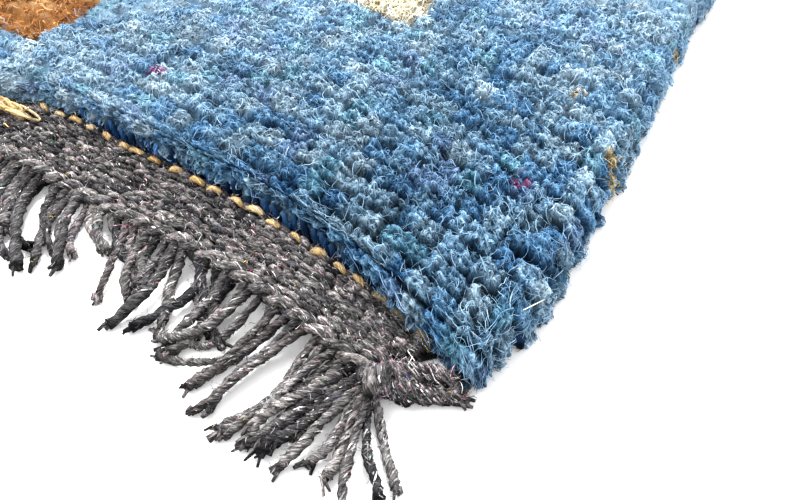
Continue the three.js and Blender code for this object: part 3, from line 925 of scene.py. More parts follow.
def make_pile_fibres(tufts):
    """Bundles of fibres that spring from every tuft and lie curled over its dome."""
    rng = np.random.default_rng(FIBRES_SEED)
    small = Blotches(rng, SMALL_MOTTLE_SIZE)
    broad = Blotches(rng, BROAD_MOTTLE_SIZE)
    swirl = Blotches(rng, FIBRE_SWIRL_SIZE)
    pieces = []
    number = 0
    for count, rings, floor_share, farthest, widths, lengths in FIBRE_SORTS:
        chosen, away = chosen_tufts(rng, tufts, count, floor_share, farthest)
        scale = np.clip(away[chosen] / CLOSE, 1, THICKEST_FIBRE)
        angle = rng.uniform(0, 2 * np.pi, count)
        out = np.sqrt(rng.uniform(0, 1, count))
        radial = headings(angle)
        root = tufts.places(chosen) + radial * (TUFT_RADIUS * out)[:, None]
        inside, way_x, way_y = edge_frame(root[:, 0], root[:, 1])
        outward = (1 - ease(inside / LEAN_OUT_WITHIN))[:, None] * np.stack([way_x, way_y], axis=-1)
        lean = tufts.heading.ravel()[chosen] + 1.1 * swirl.at(root[:, 0], root[:, 1])
        lean = lean + rng.normal(0, 0.35, count)
        flow = radial * (0.3 * out)[:, None] + headings(lean) + 0.8 * outward
        heading = np.arctan2(flow[:, 1], flow[:, 0])
        t = np.linspace(0, 1, rings)
        turn = 1.8 * tufts.turn.ravel()[chosen] + rng.normal(0, 2.2, count)
        turn = turn * (1 - 0.3 * np.linalg.norm(outward, axis=1))
        bearing = heading[:, None] + turn[:, None] * t
        length = rng.uniform(*lengths, count) * np.sqrt(scale)
        xy = curled(root, bearing, length)
        height, light, _ = tufts.at(xy[..., 0], xy[..., 1])
        droop = height[:, :1] - rng.uniform(1.0, 4.5, (count, 1)) * t ** 1.4
        lift = rng.uniform(0.0, 0.4, (count, 1)) * np.sin(np.pi * np.clip(t + 0.12, 0, 1))
        line_height = np.maximum(height, droop) + lift + rng.uniform(-0.3, 0.6, (count, 1))
        line_height = line_height - 0.3 * (1 - t)
        line = bent(xy[..., 0], xy[..., 1], line_height)
        facing = bent(xy[..., 0], xy[..., 1], line_height + 1) - line
        facing = facing + rng.normal(0, 0.3, (count, 1, 3))
        width = rng.uniform(*widths, count) * scale
        mottle = 0.2 * small.at(root[:, 0], root[:, 1]) + 0.12 * broad.at(root[:, 0], root[:, 1])
        own = tufts.tint.reshape(-1, 3)[chosen]
        own = own * np.exp(mottle + rng.normal(0.0, 0.13, count))[:, None]
        pale = rng.random(count) < PALE_FIBRES
        palest = picked(rng, FIBRE_BLUES, np.count_nonzero(pale), 0.15)
        own[pale] = own[pale] * 0.7 + palest * 0.3
        tint = softened(own[:, None] * np.exp(rng.normal(0, 0.11, (count, rings, 1))))
        order = np.argsort(root[:, 1])
        whole = PIECE_LIMIT // (2 * (rings - 1))
        for first in range(0, count, whole):
            part = order[first : first + whole]
            number += 1
            heap = Heap()
            laid = to_frame(line[part])
            add_ribbons(heap, laid, width[part], tint[part], rng, facing[part], light[part])
            pieces.append(heap.piece(f"pile_fibres_{number}", PILE_WOOL, "pile"))
    return pieces


# Long pale fibres: how many, the share spread evenly and how far off the last are
STRAYS = 4200
STRAYS_FLOOR_SHARE = 0.01
STRAYS_FARTHEST = 600
STRAY_LENGTHS = (3.0, 9.0)
STRAY_WIDTHS = (0.1, 0.2)
# How many of them stand at the near corner, and how closely they keep to it
CORNER_STRAYS = 420
CORNER_STRAYS_WITHIN = 22

# A splinter of straw caught in the pile: X and Y of its ends, its height and its width
STRAW = (284.2, -402.8, 288.2, -395.8, 19.2, 0.32)


def make_stray_fibres(tufts):
    """Long pale fibres that stand off the pile."""
    rng = np.random.default_rng(STRAYS_SEED)
    count = STRAYS
    heap = Heap()
    chosen, away = chosen_tufts(rng, tufts, count, STRAYS_FLOOR_SHARE, STRAYS_FARTHEST)
    near = np.exp(-from_near_corner(tufts.x, tufts.y) / CORNER_STRAYS_WITHIN) * tufts.there
    near = near.ravel()
    chosen[:CORNER_STRAYS] = rng.choice(len(near), size=CORNER_STRAYS, p=near / near.sum())
    away[chosen[:CORNER_STRAYS]] = CLOSE
    root = tufts.places(chosen) + rng.normal(0, 2.0, (count, 2))
    t = np.linspace(0, 1, 5)
    bearing = rng.uniform(0, 2 * np.pi, (count, 1)) + rng.normal(0, 1.6, (count, 1)) * t
    length = rng.uniform(*STRAY_LENGTHS, count)
    xy = curled(root, bearing, length)
    height, _, _ = tufts.at(xy[..., 0], xy[..., 1])
    rise = rng.uniform(0.3, 2.4, (count, 1)) * np.sin(np.pi * (0.12 + 0.76 * t))
    line = bent(xy[..., 0], xy[..., 1], np.maximum(height, height[:, :1] - 2.5 * t) + rise)
    own = tufts.tint.reshape(-1, 3)[chosen]
    pale = picked(rng, FIBRE_BLUES, count, 0.2)
    mix = rng.uniform(0.3, 0.9, (count, 1))
    tint = 0.8 * pale * (1 - mix) + own * 1.1 * mix
    not_blue = own[:, 0] > own[:, 2]
    tint[not_blue] = own[not_blue] * 1.3
    width = rng.uniform(*STRAY_WIDTHS, count) * np.clip(away[chosen] / CLOSE, 1, THICKEST_STRAY)
    facing = rng.normal(0, 1, (count, 1, 3))
    add_ribbons(heap, to_frame(line), width, tint, rng, facing)
    start_x, start_y, end_x, end_y, height, wide = STRAW
    along = np.linspace((start_x, start_y, height), (end_x, end_y, height), 4)
    upward = np.array([[[0.0, 0.0, 1.0]]])
    add_ribbons(heap, to_frame(along[None]), np.array([wide]), main_colour(CREAMS)[None], rng, upward)
    return heap.piece("stray_fibres", FIBRE_WOOL, "pile")


# Ground: the woven foundation, with the knots' backs below and a rim in painted shade that runs up into
# the pile

GROUND_COLUMNS = 40
GROUND_ROWS = 56
GROUND_TOP = 6.0
GROUND_INSET = 1.0
GROUND_RIM_SHARE = 0.985
GROUND_RIM_SHADE = 0.2


def make_ground():
    rng = np.random.default_rng(GROUND_SEED)
    heap = Heap()
    i, j = np.meshgrid(np.arange(GROUND_COLUMNS + 1), np.arange(GROUND_ROWS + 1), indexing="ij")
    half_x = PILE_HALF_WIDTH - GROUND_INSET
    half_y = PILE_HALF_LENGTH - GROUND_INSET
    x, y = rounded((2 * i / GROUND_COLUMNS - 1) * half_x, (2 * j / GROUND_ROWS - 1) * half_y,
                   half_x, half_y, PILE_CORNER_RADIUS)
    sheet = np.stack([x, y, np.zeros_like(x)], axis=-1).reshape(-1, 3)
    index = i * (GROUND_ROWS + 1) + j
    bottom = np.stack([index[:-1, :-1], index[:-1, 1:], index[1:, 1:], index[1:, :-1]], axis=-1)
    border = np.concatenate([index[:-1, 0], index[-1, :-1], index[:0:-1, -1], index[0, :0:-1]])
    rim = sheet[border] * GROUND_RIM_SHARE
    rim[:, 2] = GROUND_TOP
    points = np.concatenate([sheet, rim])
    upper = len(sheet) + np.arange(len(border))
    walls = np.stack([border, np.roll(border, -1), np.roll(upper, -1), upper], axis=1)
    tint = np.tile(main_colour(BLUES), (len(points), 1))
    tint = tint * np.exp(rng.normal(0, 0.12, (len(points), 1)))
    tint[in_blocks(points[:, 0], points[:, 1], RUST_BLOCKS)] = main_colour(RUSTS)
    tint[in_blocks(points[:, 0], points[:, 1], CREAM_BLOCKS)] = main_colour(CREAMS)
    # The rim is darkened with painted shade
    tint[len(sheet):] *= GROUND_RIM_SHADE
    heap.add(to_frame(points), [bottom, walls], tint, points, np.ones(len(points)))
    return heap.piece("ground", GROUND_WOOL, "pile", ["pile"])


def ground_wool():
    """Rows of knot backs, crossed by the warps' ridges."""
    made = wool("knot_backs", fibre=(0.5, 3.0), clump=(1.5, 5.0), contrast=0.5, root_shade=1.0,
                relief=0.3)
    tree = made.node_tree
    split = tree.nodes.new("ShaderNodeSeparateXYZ")
    tree.links.new(attribute(tree, "rest", "Vector"), split.inputs[0])
    waves = []
    for place, pitch in enumerate([KNOT_PITCH_X, KNOT_PITCH_Y]):
        angle = maths(tree, "MULTIPLY", split.outputs[place], 2 * math.pi / (pitch / 2))
        waves.append(maths(tree, "SINE", angle))
    height = maths(tree, "ADD", maths(tree, "MULTIPLY", waves[0], 0.5), waves[1])
    bump = node(tree, "ShaderNodeBump", Strength=1.0, Distance=0.8 * MM)
    shader = tree.nodes["Principled BSDF"]
    fine = shader.inputs["Normal"].links[0].from_node
    tree.links.new(height, bump.inputs["Height"])
    tree.links.new(fine.outputs[0], bump.inputs["Normal"])
    tree.links.new(bump.outputs[0], shader.inputs["Normal"])
    return made


GROUND_WOOL = ground_wool()


# What both ends have. side is -1 at the near end and 1 at the far end.

def end_of(side):
    return "near" if side < 0 else "far"


def laid_lines(x, y, z):
    """Lines of squared-up points, one line for each row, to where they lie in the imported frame."""
    return to_frame(np.stack(np.broadcast_arrays(x, y, z), axis=-1))


def bulging(t):
    """1 in the middle of a line that runs from -1 to 1, and round over to 0 at its ends."""
    return np.sqrt(np.clip(1 - t ** 2, 0, 1))


# Flat-woven end band: weft floats in staggered rows, each over one warp

BAND_ROWS = 9
WARP_PITCH = STITCH_PITCH / 2
FLOAT_HALF_LENGTH = 3.1
FLOAT_RISE = 1.75
FLOAT_RADII = (1.3, 1.7)
FLOAT_SLOPE = -0.16
CORE_HEIGHT = 2.2
CORE_SHADE = 0.35


def make_band(name, side, seed):
    rng = np.random.default_rng(seed)
    heap = Heap()
    inner = PILE_HALF_LENGTH + FIT_GAP
    add_band_core(heap, side, inner)
    each = int(2 * BAND_HALF_WIDTH / WARP_PITCH)
    row, number = np.meshgrid(np.arange(BAND_ROWS), np.arange(each), indexing="ij")
    row = row.ravel()
    depth_in = (row + 0.5) * BAND_DEPTH / BAND_ROWS + rng.normal(0, 0.22, len(row))
    x = (number.ravel() + 0.25 + 0.5 * (row % 2) - each / 2) * WARP_PITCH
    x = x + rng.normal(0, 0.35, len(row))
    seen, _ = in_picture(x, side * (inner + depth_in), 4.0)
    for rich in (True, False):
        here = seen.astype(bool) == rich
        if np.any(here):
            add_floats(heap, side, inner, x[here], depth_in[here], rich, rng)
    return heap.piece(name, BAND_WOOL, "band", [f"kilim_{end_of(side)}"])


def add_floats(heap, side, inner, x, depth_in, rich, rng):
    """The weft's short arched floats. rich: with loose fibres, for those near the camera."""
    count = len(x)
    rings = 5 if rich else 4
    t = np.linspace(-1, 1, rings)
    half = FLOAT_HALF_LENGTH * rng.uniform(0.85, 1.15, (count, 1))
    slope = rng.normal(FLOAT_SLOPE, 0.14, (count, 1))
    px = x[:, None] + half * t
    py = depth_in[:, None] + slope * half * t + rng.normal(0, 0.12, (count, rings))
    pz = CORE_HEIGHT + rng.normal(FLOAT_RISE, 0.3, (count, 1)) * (1 - t ** 2)
    px = px * (1 - BAND_END_SLANT * py / BAND_DEPTH)
    laid = laid_lines(px, side * (inner + py), pz)
    thick = rng.uniform(*FLOAT_RADII, (count, 1))
    radii = thick * (0.62 + 0.42 * bulging(t))
    tint = picked(rng, GREYS, count, 0.28)
    # Painted shade towards the floats' ends, where they dip into the weave, and on their sides and
    # undersides
    painted_light = ease((1.15 - np.abs(t)) / 0.9)
    add_tubes(heap, laid, radii, tint, painted_light, rng, sides=7 if rich else 4, roughness=0.14, under=0.95)
    if rich:
        add_wrapped_fibres(heap, laid, radii, tint, painted_light, rng, each=5, rings=4, twist=0.5, lift=0.5,
                           widths=(0.2, 0.5), palette=MARL)
        add_fuzz(heap, laid[:, rings // 2], rng, count=3600, above=1.2, reach=2.4)


def add_band_core(heap, side, inner):
    """The warps and wefts deep between the floats, in the darkest grey and darkened further with painted
    shade.
    """
    x = np.linspace(-BAND_HALF_WIDTH, BAND_HALF_WIDTH, 91)
    from_inner = np.array([[0.3], [0.3], [BAND_DEPTH - 0.6], [BAND_DEPTH - 0.6]])
    height = np.array([[0.0], [CORE_HEIGHT], [CORE_HEIGHT], [0.0]])
    slanted = x * (1 - BAND_END_SLANT * from_inner / BAND_DEPTH)
    points = np.stack(np.broadcast_arrays(slanted, side * (inner + from_inner), height), axis=-1)
    index = np.arange(4 * len(x)).reshape(4, -1)
    after = np.roll(index, -1, axis=0)
    walls = np.stack([index[:, :-1], index[:, 1:], after[:, 1:], after[:, :-1]], axis=-1)
    ends = np.array([index[:, 0], index[::-1, -1]])
    # Painted shade darkens the core's grey
    tint = np.tile(DARK_GREY * CORE_SHADE, (4 * len(x), 1))
    heap.add(to_frame(points), [walls, ends], tint, points, np.ones(4 * len(x)))


# Twining: a tan dash over every two warps, between the band and the first knots

# How far from the corner's side of the rug painted shade starts to darken the tan yarn, and has darkened
# it fully
DARK_FROM = 84
DARK_TO = 36
TWINING_IN = 2.2
TWINING_HEIGHT = 4.0
TWINING_RISE = 1.5
TWINING_HALF_LENGTHS = (2.1, 4.1)
TWINING_RADII = (0.85, 1.4)
TWINING_SLOPE = -0.14

# A loose tangle of the tan yarn, at its place across the rug and over the band
TANGLE_X = 54
TANGLE_IN = 13.5
TANGLE_HEIGHT = 6.0
TANGLE_SPREAD = 9.0
TANGLE_LOOPS = 12


def make_twining(name, side, wraps, seed):
    rng = np.random.default_rng(seed)
    heap = Heap()
    number = np.arange(STITCHES)
    middle = (number + 0.5 - STITCHES / 2) * STITCH_PITCH + rng.normal(0, 0.9, STITCHES)
    y = PILE_HALF_LENGTH + FIT_GAP + TWINING_IN + rng.normal(0, 0.55, STITCHES)
    t = np.linspace(-1, 1, 9)
    half = rng.uniform(*TWINING_HALF_LENGTHS, (STITCHES, 1))
    slope = rng.normal(TWINING_SLOPE, 0.2, (STITCHES, 1))
    px = middle[:, None] + half * t
    py = y[:, None] + slope * half * t
    pz = TWINING_HEIGHT + TWINING_RISE * (1 - t ** 2) - 0.9 * t ** 4
    radii = rng.uniform(*TWINING_RADII, (STITCHES, 1)) * (0.5 + 0.55 * bulging(t))
    tint = picked(rng, TANS, STITCHES, 0.2)
    if side < 0:
        # Painted shade darkens the tan yarn towards the near corner
        dark = ease((middle - PILE_HALF_WIDTH + DARK_FROM) / (DARK_FROM - DARK_TO))[:, None]
        tint = tint * (1 - dark) + picked(rng, SHADED_TANS, STITCHES, 0.12) * dark
    # Painted shade towards the dashes' ends
    painted_light = ease((1.15 - np.abs(t)) / 0.6)
    laid = laid_lines(px, side * py, pz)
    add_tubes(heap, laid, radii, tint, painted_light, rng, sides=8, lobes=2, lobe_depth=0.1, turns=1.6 * t,
              roughness=0.06)
    add_wrapped_fibres(heap, laid, radii, tint, painted_light, rng, each=wraps, rings=5, twist=0.35, lift=0.35,
                       widths=(0.25, 0.55), spread=0.22)
    if side < 0:
        add_fuzz(heap, laid.reshape(-1, 3), rng, count=700, above=1.0, reach=2.4)
        add_tangle(heap, rng)
    return heap.piece(name, TWINING_WOOL, "twining", [f"twining_{end_of(side)}"])


def add_tangle(heap, rng):
    """Loose loops of the tan yarn."""
    t = np.linspace(0, 2.2 * np.pi, 22)
    middle = TANGLE_X + rng.normal(0, TANGLE_SPREAD, (TANGLE_LOOPS, 1))
    wide = rng.uniform(3.0, 8.0, (TANGLE_LOOPS, 1))
    deep = rng.uniform(1.2, 3.4, (TANGLE_LOOPS, 1))
    start = rng.uniform(0, 2 * np.pi, (TANGLE_LOOPS, 1))
    tilt = rng.uniform(-1, 1, (TANGLE_LOOPS, 1))
    px = middle + wide * np.cos(t + start) + 1.2 * np.sin(2.7 * t + start)
    py = PILE_HALF_LENGTH + TANGLE_IN + deep * np.sin(t + start) + 0.16 * (px - TANGLE_X) * tilt
    pz = TANGLE_HEIGHT + 1.6 * np.sin(1.7 * t + 2 * start) + rng.uniform(0, 1.2, (TANGLE_LOOPS, 1))
    laid = laid_lines(px, -py, pz)
    radii = np.broadcast_to(rng.uniform(0.45, 0.85, (TANGLE_LOOPS, 1)), px.shape)
    tint = picked(rng, TANS, TANGLE_LOOPS, 0.1)
    add_tubes(heap, laid, radii, tint, 1.0, rng, sides=5, roughness=0.1)
    add_wrapped_fibres(heap, laid, radii, tint, 1.0, rng, each=14, rings=5, twist=0.2, lift=0.5,
                       widths=(0.15, 0.35), spread=0.2)


# The first row of knots, whose slanting twisted feet show behind the twining

KNOT_FOOT_INSET = 8
KNOT_FOOT_HEIGHT = 2.4
KNOT_FOOT_LEANS = (3.5, 8.0)
KNOT_FOOT_RISES = (3.5, 7.0)
KNOT_FOOT_RADII = (1.1, 1.6)
KNOT_FOOT_SHAPE = np.array([[0.8, 1.0, 1.08, 1.05, 1.0, 0.8]])


def make_first_knots(name, side, wraps, seed):
    rng = np.random.default_rng(seed)
    heap = Heap()
    count = int(2 * (PILE_HALF_WIDTH - KNOT_FOOT_INSET) / WARP_PITCH)
    x = (np.arange(count) + 0.5 - count / 2) * WARP_PITCH + rng.normal(0, 0.6, count)
    t = np.linspace(0, 1, 6)
    lean = rng.uniform(*KNOT_FOOT_LEANS, (count, 1))
    rise = rng.uniform(*KNOT_FOOT_RISES, (count, 1))
    px = x[:, None] - lean * t + rng.normal(0, 0.2, (count, 6))
    py = PILE_HALF_LENGTH - 0.6 - 2.4 * t ** 1.2 + rng.normal(0, 0.3, (count, 6))
    pz = KNOT_FOOT_HEIGHT + rise * t
    radii = rng.uniform(*KNOT_FOOT_RADII, (count, 1)) * KNOT_FOOT_SHAPE
    # Painted shade: the feet take the shaded blue and darken towards their roots, and their wrapped
    # fibres take a lighter copy of it
    tint = picked(rng, SHADED_BLUES, count, 0.25)
    painted_light = 0.6 + 0.4 * t
    laid = laid_lines(px, side * py, pz)
    add_tubes(heap, laid, radii, tint, painted_light, rng, sides=6, lobes=2, lobe_depth=0.14, turns=1.9 * t,
              roughness=0.08)
    if wraps:
        add_wrapped_fibres(heap, laid, radii, tint * 1.5, painted_light, rng, each=wraps, rings=4, twist=0.7,
                           lift=0.5, widths=(0.2, 0.45), spread=0.45)
    return heap.piece(name, PILE_WOOL, "pile")


# Overcast side edges: wraps of wool under the pile's overhanging locks

WRAP_PITCH = 6.6
WRAP_INSET = 20
WRAP_HALF_WIDTH = 3.2
WRAP_HEIGHT = 4.0
WRAP_MIDDLE_INSET = 1.2
WRAP_FOOT = 1.6
WRAP_RADII = (1.6, 2.2)
WRAP_SHAPE = np.array([[0.8, 1.0, 1.1, 1.08, 0.95, 0.7]])


def make_selvedge(name, side, seed):
    rng = np.random.default_rng(seed)
    heap = Heap()
    count = int(2 * (PILE_HALF_LENGTH - WRAP_INSET) / WRAP_PITCH)
    y = (np.arange(count) + 0.5 - count / 2) * WRAP_PITCH + rng.normal(0, 0.7, count)
    t = np.linspace(0, 1, 6)
    angle = np.pi * (0.98 - 0.98 * t)
    reach = rng.uniform(0.9, 1.1, (count, 1))
    px = PILE_HALF_WIDTH - WRAP_MIDDLE_INSET + WRAP_HALF_WIDTH * reach * np.cos(angle)
    pz = WRAP_FOOT + WRAP_HEIGHT * reach * np.sin(angle) ** 0.8
    py = y[:, None] + rng.normal(-3.4, 1.0, (count, 1)) * t
    radii = rng.uniform(*WRAP_RADII, (count, 1)) * WRAP_SHAPE
    laid = laid_lines(side * px, py, np.maximum(pz, radii * 0.9))
    # Painted shade: the wraps take the shaded blue, lightened a little, and darken towards the floor
    tint = picked(rng, SHADED_BLUES, count, 0.2) * 1.5
    painted_light = 0.25 + 0.75 * ease(np.sin(angle) * 1.4)
    add_tubes(heap, laid, radii, tint, painted_light, rng, sides=6, roughness=0.08)
    place = f"selvedge_{'left' if side < 0 else 'right'}"
    return heap.piece(name, PILE_WOOL, "selvedge", [place])


# Edge cord: two plies twisted along the band's outer edge

CORD_MIDDLE = PILE_HALF_LENGTH + FIT_GAP + BAND_DEPTH + CORD_GAP + CORD_WIDTH / 2
CORD_TURN = 15.5
CORD_RINGS_EACH_TURN = 11
CORD_HEIGHT = 3.5
CORD_PLY_RADIUS = 2.0
CORD_PLY_IN = 1.75
CORD_PLY_UP = 1.6
CORD_SPAN = 14


def add_cord(heap, side, end_x, rng):
    turns_in_all = (end_x + FRINGE_HALF_WIDTH) / CORD_TURN
    count = int(turns_in_all * CORD_RINGS_EACH_TURN)
    x = np.linspace(-FRINGE_HALF_WIDTH, end_x, count)
    angle = np.linspace(0, turns_in_all * 2 * np.pi, count)
    paths = []
    for ply in range(2):
        phase = angle + ply * np.pi
        y = CORD_MIDDLE - 0.4 + CORD_PLY_IN * np.cos(phase) + 0.4 * np.sin(x / 17)
        z = CORD_HEIGHT + CORD_PLY_UP * np.sin(phase)
        paths.append(np.stack([x, side * y, z + rng.normal(0, 0.12, count)], axis=1))
    paths = np.array(paths)
    swell = 1 + 0.12 * np.sin(angle * 1.7) + rng.normal(0, 0.05, (2, count))
    radii = CORD_PLY_RADIUS * swell
    tint = picked(rng, GREYS, 2, 0.05)
    tints = tint[:, None] * np.exp(rng.normal(0, 0.15, (2, count)))[..., None]
    # Painted shade, darker low down and on the plies' undersides
    painted_light = ease((paths[..., 2] - 1.4) / 3.4)
    laid = to_frame(paths)
    add_tubes(heap, laid, radii, tints, painted_light, rng, sides=7, roughness=0.07, under=0.6)
    if side < 0:
        starts = np.arange(count // 2, count - CORD_SPAN, CORD_SPAN // 2)
        within = starts[:, None] + np.arange(CORD_SPAN)
        parts = laid[:, within].reshape(-1, CORD_SPAN, 3)
        part_radii = radii[:, within].reshape(-1, CORD_SPAN)
        part_painted_light = painted_light[:, within].reshape(-1, CORD_SPAN)
        add_wrapped_fibres(heap, parts, part_radii, tint, part_painted_light, rng, each=16, rings=5, twist=0.6,
                           lift=0.45, widths=(0.2, 0.55), palette=MARL)
        add_fuzz(heap, laid[:, count // 2:].reshape(-1, 3), rng, count=700, above=1.4, reach=2.8)


# Fringe strands of the near end as they lie, measured from the corner:
# root X, middle X and Y, tip X and Y
STRAND_GUIDES = [
    (-214, -203, -21, -189, -34),
    (-207, -193, -25, -174, -42),
    (-201, -192, -21, -178, -35),
    (-194, -182, -18, -168, -30),
    (-187, -183, -14, -176, -23),
    (-175, -169, -14, -160, -25),
    (-169, -160, -11, -149, -19),
    (-163, -149, -14, -132, -20),
    (-150, -141, -16, -131, -29),
    (-142, -136, -16, -128, -28),
    (-133, -130, -16, -124, -27),
    (-127, -122, -20, -125, -33),
    (-119, -110, -18, -110, -36),
    (-112, -108, -14, -95, -25),
    (-105, -100, -14, -88, -24),
    (-98, -96, -18, -100, -38),
    (-86, -91, -29, -99, -32),
    (-79, -76, -29, -94, -41),
    (-72, -78, -33, -82, -45),
    (-65, -69, -31, -77, -49),
    (-58, -58, -36, -62, -51),
    (-51, -57, -35, -57, -55),
    (-43, -46, -33, -48, -52),
    (-38, -39, -36, -41, -53),
    (-34, -31, -37, -31, -47),
    (-31, -24, -42, -22, -55),
    (-28, -18, -36, -8, -45),
    (-25, -17, -32, -9, -40),
]

# Strands that spring from the cord's knot, in the same measure:
# root X and Y, middle X and Y, tip X and Y
KNOT_STRANDS = [
    (-30, -18, -17, -31, -8, -40),
    (-31, -19, -20, -36, -9, -46),
    (-31, -20, -23, -41, -17, -55),
    (-33, -19, -28, -40, -25, -49),
    (-34, -19, -32, -38, -33, -48),
    (-35, -18, -37, -37, -41, -53),
    (-36, -18, -40, -33, -44, -44),
    (-38, -18, -46, -35, -52, -54),
    (-42, -17, -50, -34, -56, -50),
    (-47, -15, -55, -34, -63, -53),
]

# The guides take over from this place on, measured from the corner, and over this width
GUIDED_FROM = -232
GUIDED_OVER = 14

STRAND_RINGS = 23
STRAND_TURN = 10.5
STRAND_RADIUS = 1.7
STRAND_ROOT_HEIGHT = 3.0
STRAND_ROOT_IN = 1.0
SHORTER_THAN_SOLIDS = 5
# The chance that a strand starts a new clump. Clumps lean together, and strands lie in layers.
CLUMP_CHANCE = 0.22
CLUMP_LEAN = 3.0
STRAND_LAYERS = 3
LAYER_RISE = 1.7


def laid_flat(x, y):
    moved_x, moved_y = lay(x, y)
    return np.stack([moved_x + SHIFT_X, moved_y + SHIFT_Y], axis=-1)


def strand_lines(side, count, end_x, rng):
    """Root, middle and tip of each strand as they lie, its root's height, and whether it is seen."""
    width = end_x + FRINGE_HALF_WIDTH
    x = -FRINGE_HALF_WIDTH + (np.arange(count) + 0.5) * width / count
    y = np.full(count, CORD_MIDDLE + STRAND_ROOT_IN)
    clump = np.cumsum(rng.random(count) < CLUMP_CHANCE)
    number = clump[-1] + 1
    lean = rng.normal(CLUMP_LEAN, 4.5, number)[clump]
    draw = rng.uniform(0.35, 0.8, number)[clump]
    sums = np.bincount(clump, weights=x, minlength=number)
    clump_x = (sums / np.maximum(np.bincount(clump, minlength=number), 1))[clump]
    length = STRAND_LENGTH - SHORTER_THAN_SOLIDS
    length = length + rng.normal(0, 3.0, number)[clump] + rng.normal(0, 2.0, count)
    tip_x = clump_x + lean + (x - clump_x) * draw + rng.normal(0, 1.5, count)
    half_x = (x + tip_x) / 2 + rng.normal(0, 2.5, number)[clump] + rng.normal(0, 1.0, count)
    root = laid_flat(x, side * y)
    middle = laid_flat(half_x, side * (y + 0.52 * length))
    tip = laid_flat(tip_x, side * (y + length))
    if side < 0:
        guides = np.array(STRAND_GUIDES, float)
        place = root[:, 0] - CORNER[0] - SHIFT_X
        nearest = np.argmin(np.abs(place[:, None] - guides[None, :, 0]), axis=1)
        guide = guides[nearest]
        aside = (place - guide[:, 0])[:, None]
        corner = np.array([CORNER[0] + SHIFT_X, CORNER[1] + SHIFT_Y])
        follow = ease((place - GUIDED_FROM) / GUIDED_OVER)[:, None]
        for found, first, draw_aside, spread in ((middle, 1, 0.8, 1.8), (tip, 3, 0.7, 3.4)):
            guided = corner + guide[:, first : first + 2] + aside * np.array([draw_aside, 0])
            guided = guided + rng.normal(0, spread, (count, 2))
            found[:] = found * (1 - follow) + guided * follow
        knotted = np.array(KNOT_STRANDS, float)
        root, middle, tip = [
            np.concatenate([found, corner + knotted[:, first : first + 2]])
            for found, first in ((root, 0), (middle, 2), (tip, 4))
        ]
        x = np.concatenate([x, np.full(len(knotted), end_x)])
        y = np.concatenate([y, np.full(len(knotted), CORD_MIDDLE + STRAND_ROOT_IN)])
    seen, _ = in_picture(x, side * y, STRAND_ROOT_HEIGHT)
    return root, middle, tip, STRAND_ROOT_HEIGHT + curl_height(x, side * y), seen.astype(bool)


def add_strands(heap, side, count, end_x, rng):
    """Adds the strands and gives back their lines and colours."""
    root, middle, tip, root_height, seen = strand_lines(side, count, end_x, rng)
    count = len(root)
    rings = STRAND_RINGS
    t = np.linspace(0, 1, rings)
    control = 2 * middle - (root + tip) / 2
    blend = [((1 - t) ** 2)[..., None], (2 * t * (1 - t))[..., None], (t ** 2)[..., None]]
    xy = blend[0] * root[:, None] + blend[1] * control[:, None] + blend[2] * tip[:, None]
    wobble = rng.uniform(0, 2 * np.pi, (4, count, 1))
    xy[..., 0] += 1.0 * np.sin(6 * t + wobble[0]) * t + 0.35 * np.sin(15 * t + wobble[1]) * t
    xy[..., 1] += 0.8 * np.sin(7 * t + wobble[2]) * t
    thick = STRAND_RADIUS * np.exp(rng.normal(0, 0.12, (count, 1)))
    radii = thick * (1 + 0.09 * np.sin(12 * t + wobble[3])) * (1 + 0.1 * ease((t - 0.85) / 0.15))
    layer = (np.arange(count) * 7 % STRAND_LAYERS)[:, None]
    arch = layer * LAYER_RISE * np.sin(np.pi * np.clip(t * 1.05, 0, 1)) ** 0.8
    z = radii * 0.98 + (root_height[:, None] - radii) * (1 - ease(t / 0.42)) + arch
    laid = np.concatenate([xy, z[..., None]], axis=-1)
    tint = 1.3 * picked(rng, GREYS, count, 0.24)
    cut_end = 1 - 0.5 * ease((t - 0.88) / 0.12)
    tints = tint[:, None] * np.broadcast_to(cut_end, xy.shape[:2])[..., None]
    # Painted shade, darker towards the roots and on the strands' undersides
    painted_light = np.broadcast_to(0.3 + 0.7 * ease(t / 0.35), xy.shape[:2]) * cut_end
    turns = np.arange(rings) * 2 * np.pi * STRAND_LENGTH / STRAND_TURN / (rings - 1)
    turns = turns + wobble[0]
    for rich, sides, skip in ((True, 8, 1), (False, 5, 2)):
        here = seen == rich
        if np.any(here):
            kept = (here, slice(None, None, skip))
            add_tubes(heap, laid[kept], radii[kept], tints[kept], painted_light[kept], rng, sides=sides, lobes=2,
                      lobe_depth=0.14, turns=turns[kept], roughness=0.08, under=0.6)
    if np.any(seen):
        add_wrapped_fibres(heap, laid[seen], radii[seen], tints[seen], painted_light[seen], rng, each=16,
                           rings=6, twist=0.75, lift=0.4, widths=(0.2, 0.55), palette=MARL)
        add_fuzz(heap, laid[seen, 2:].reshape(-1, 3), rng, count=3600, above=1.2, reach=2.6)
    return laid, tint


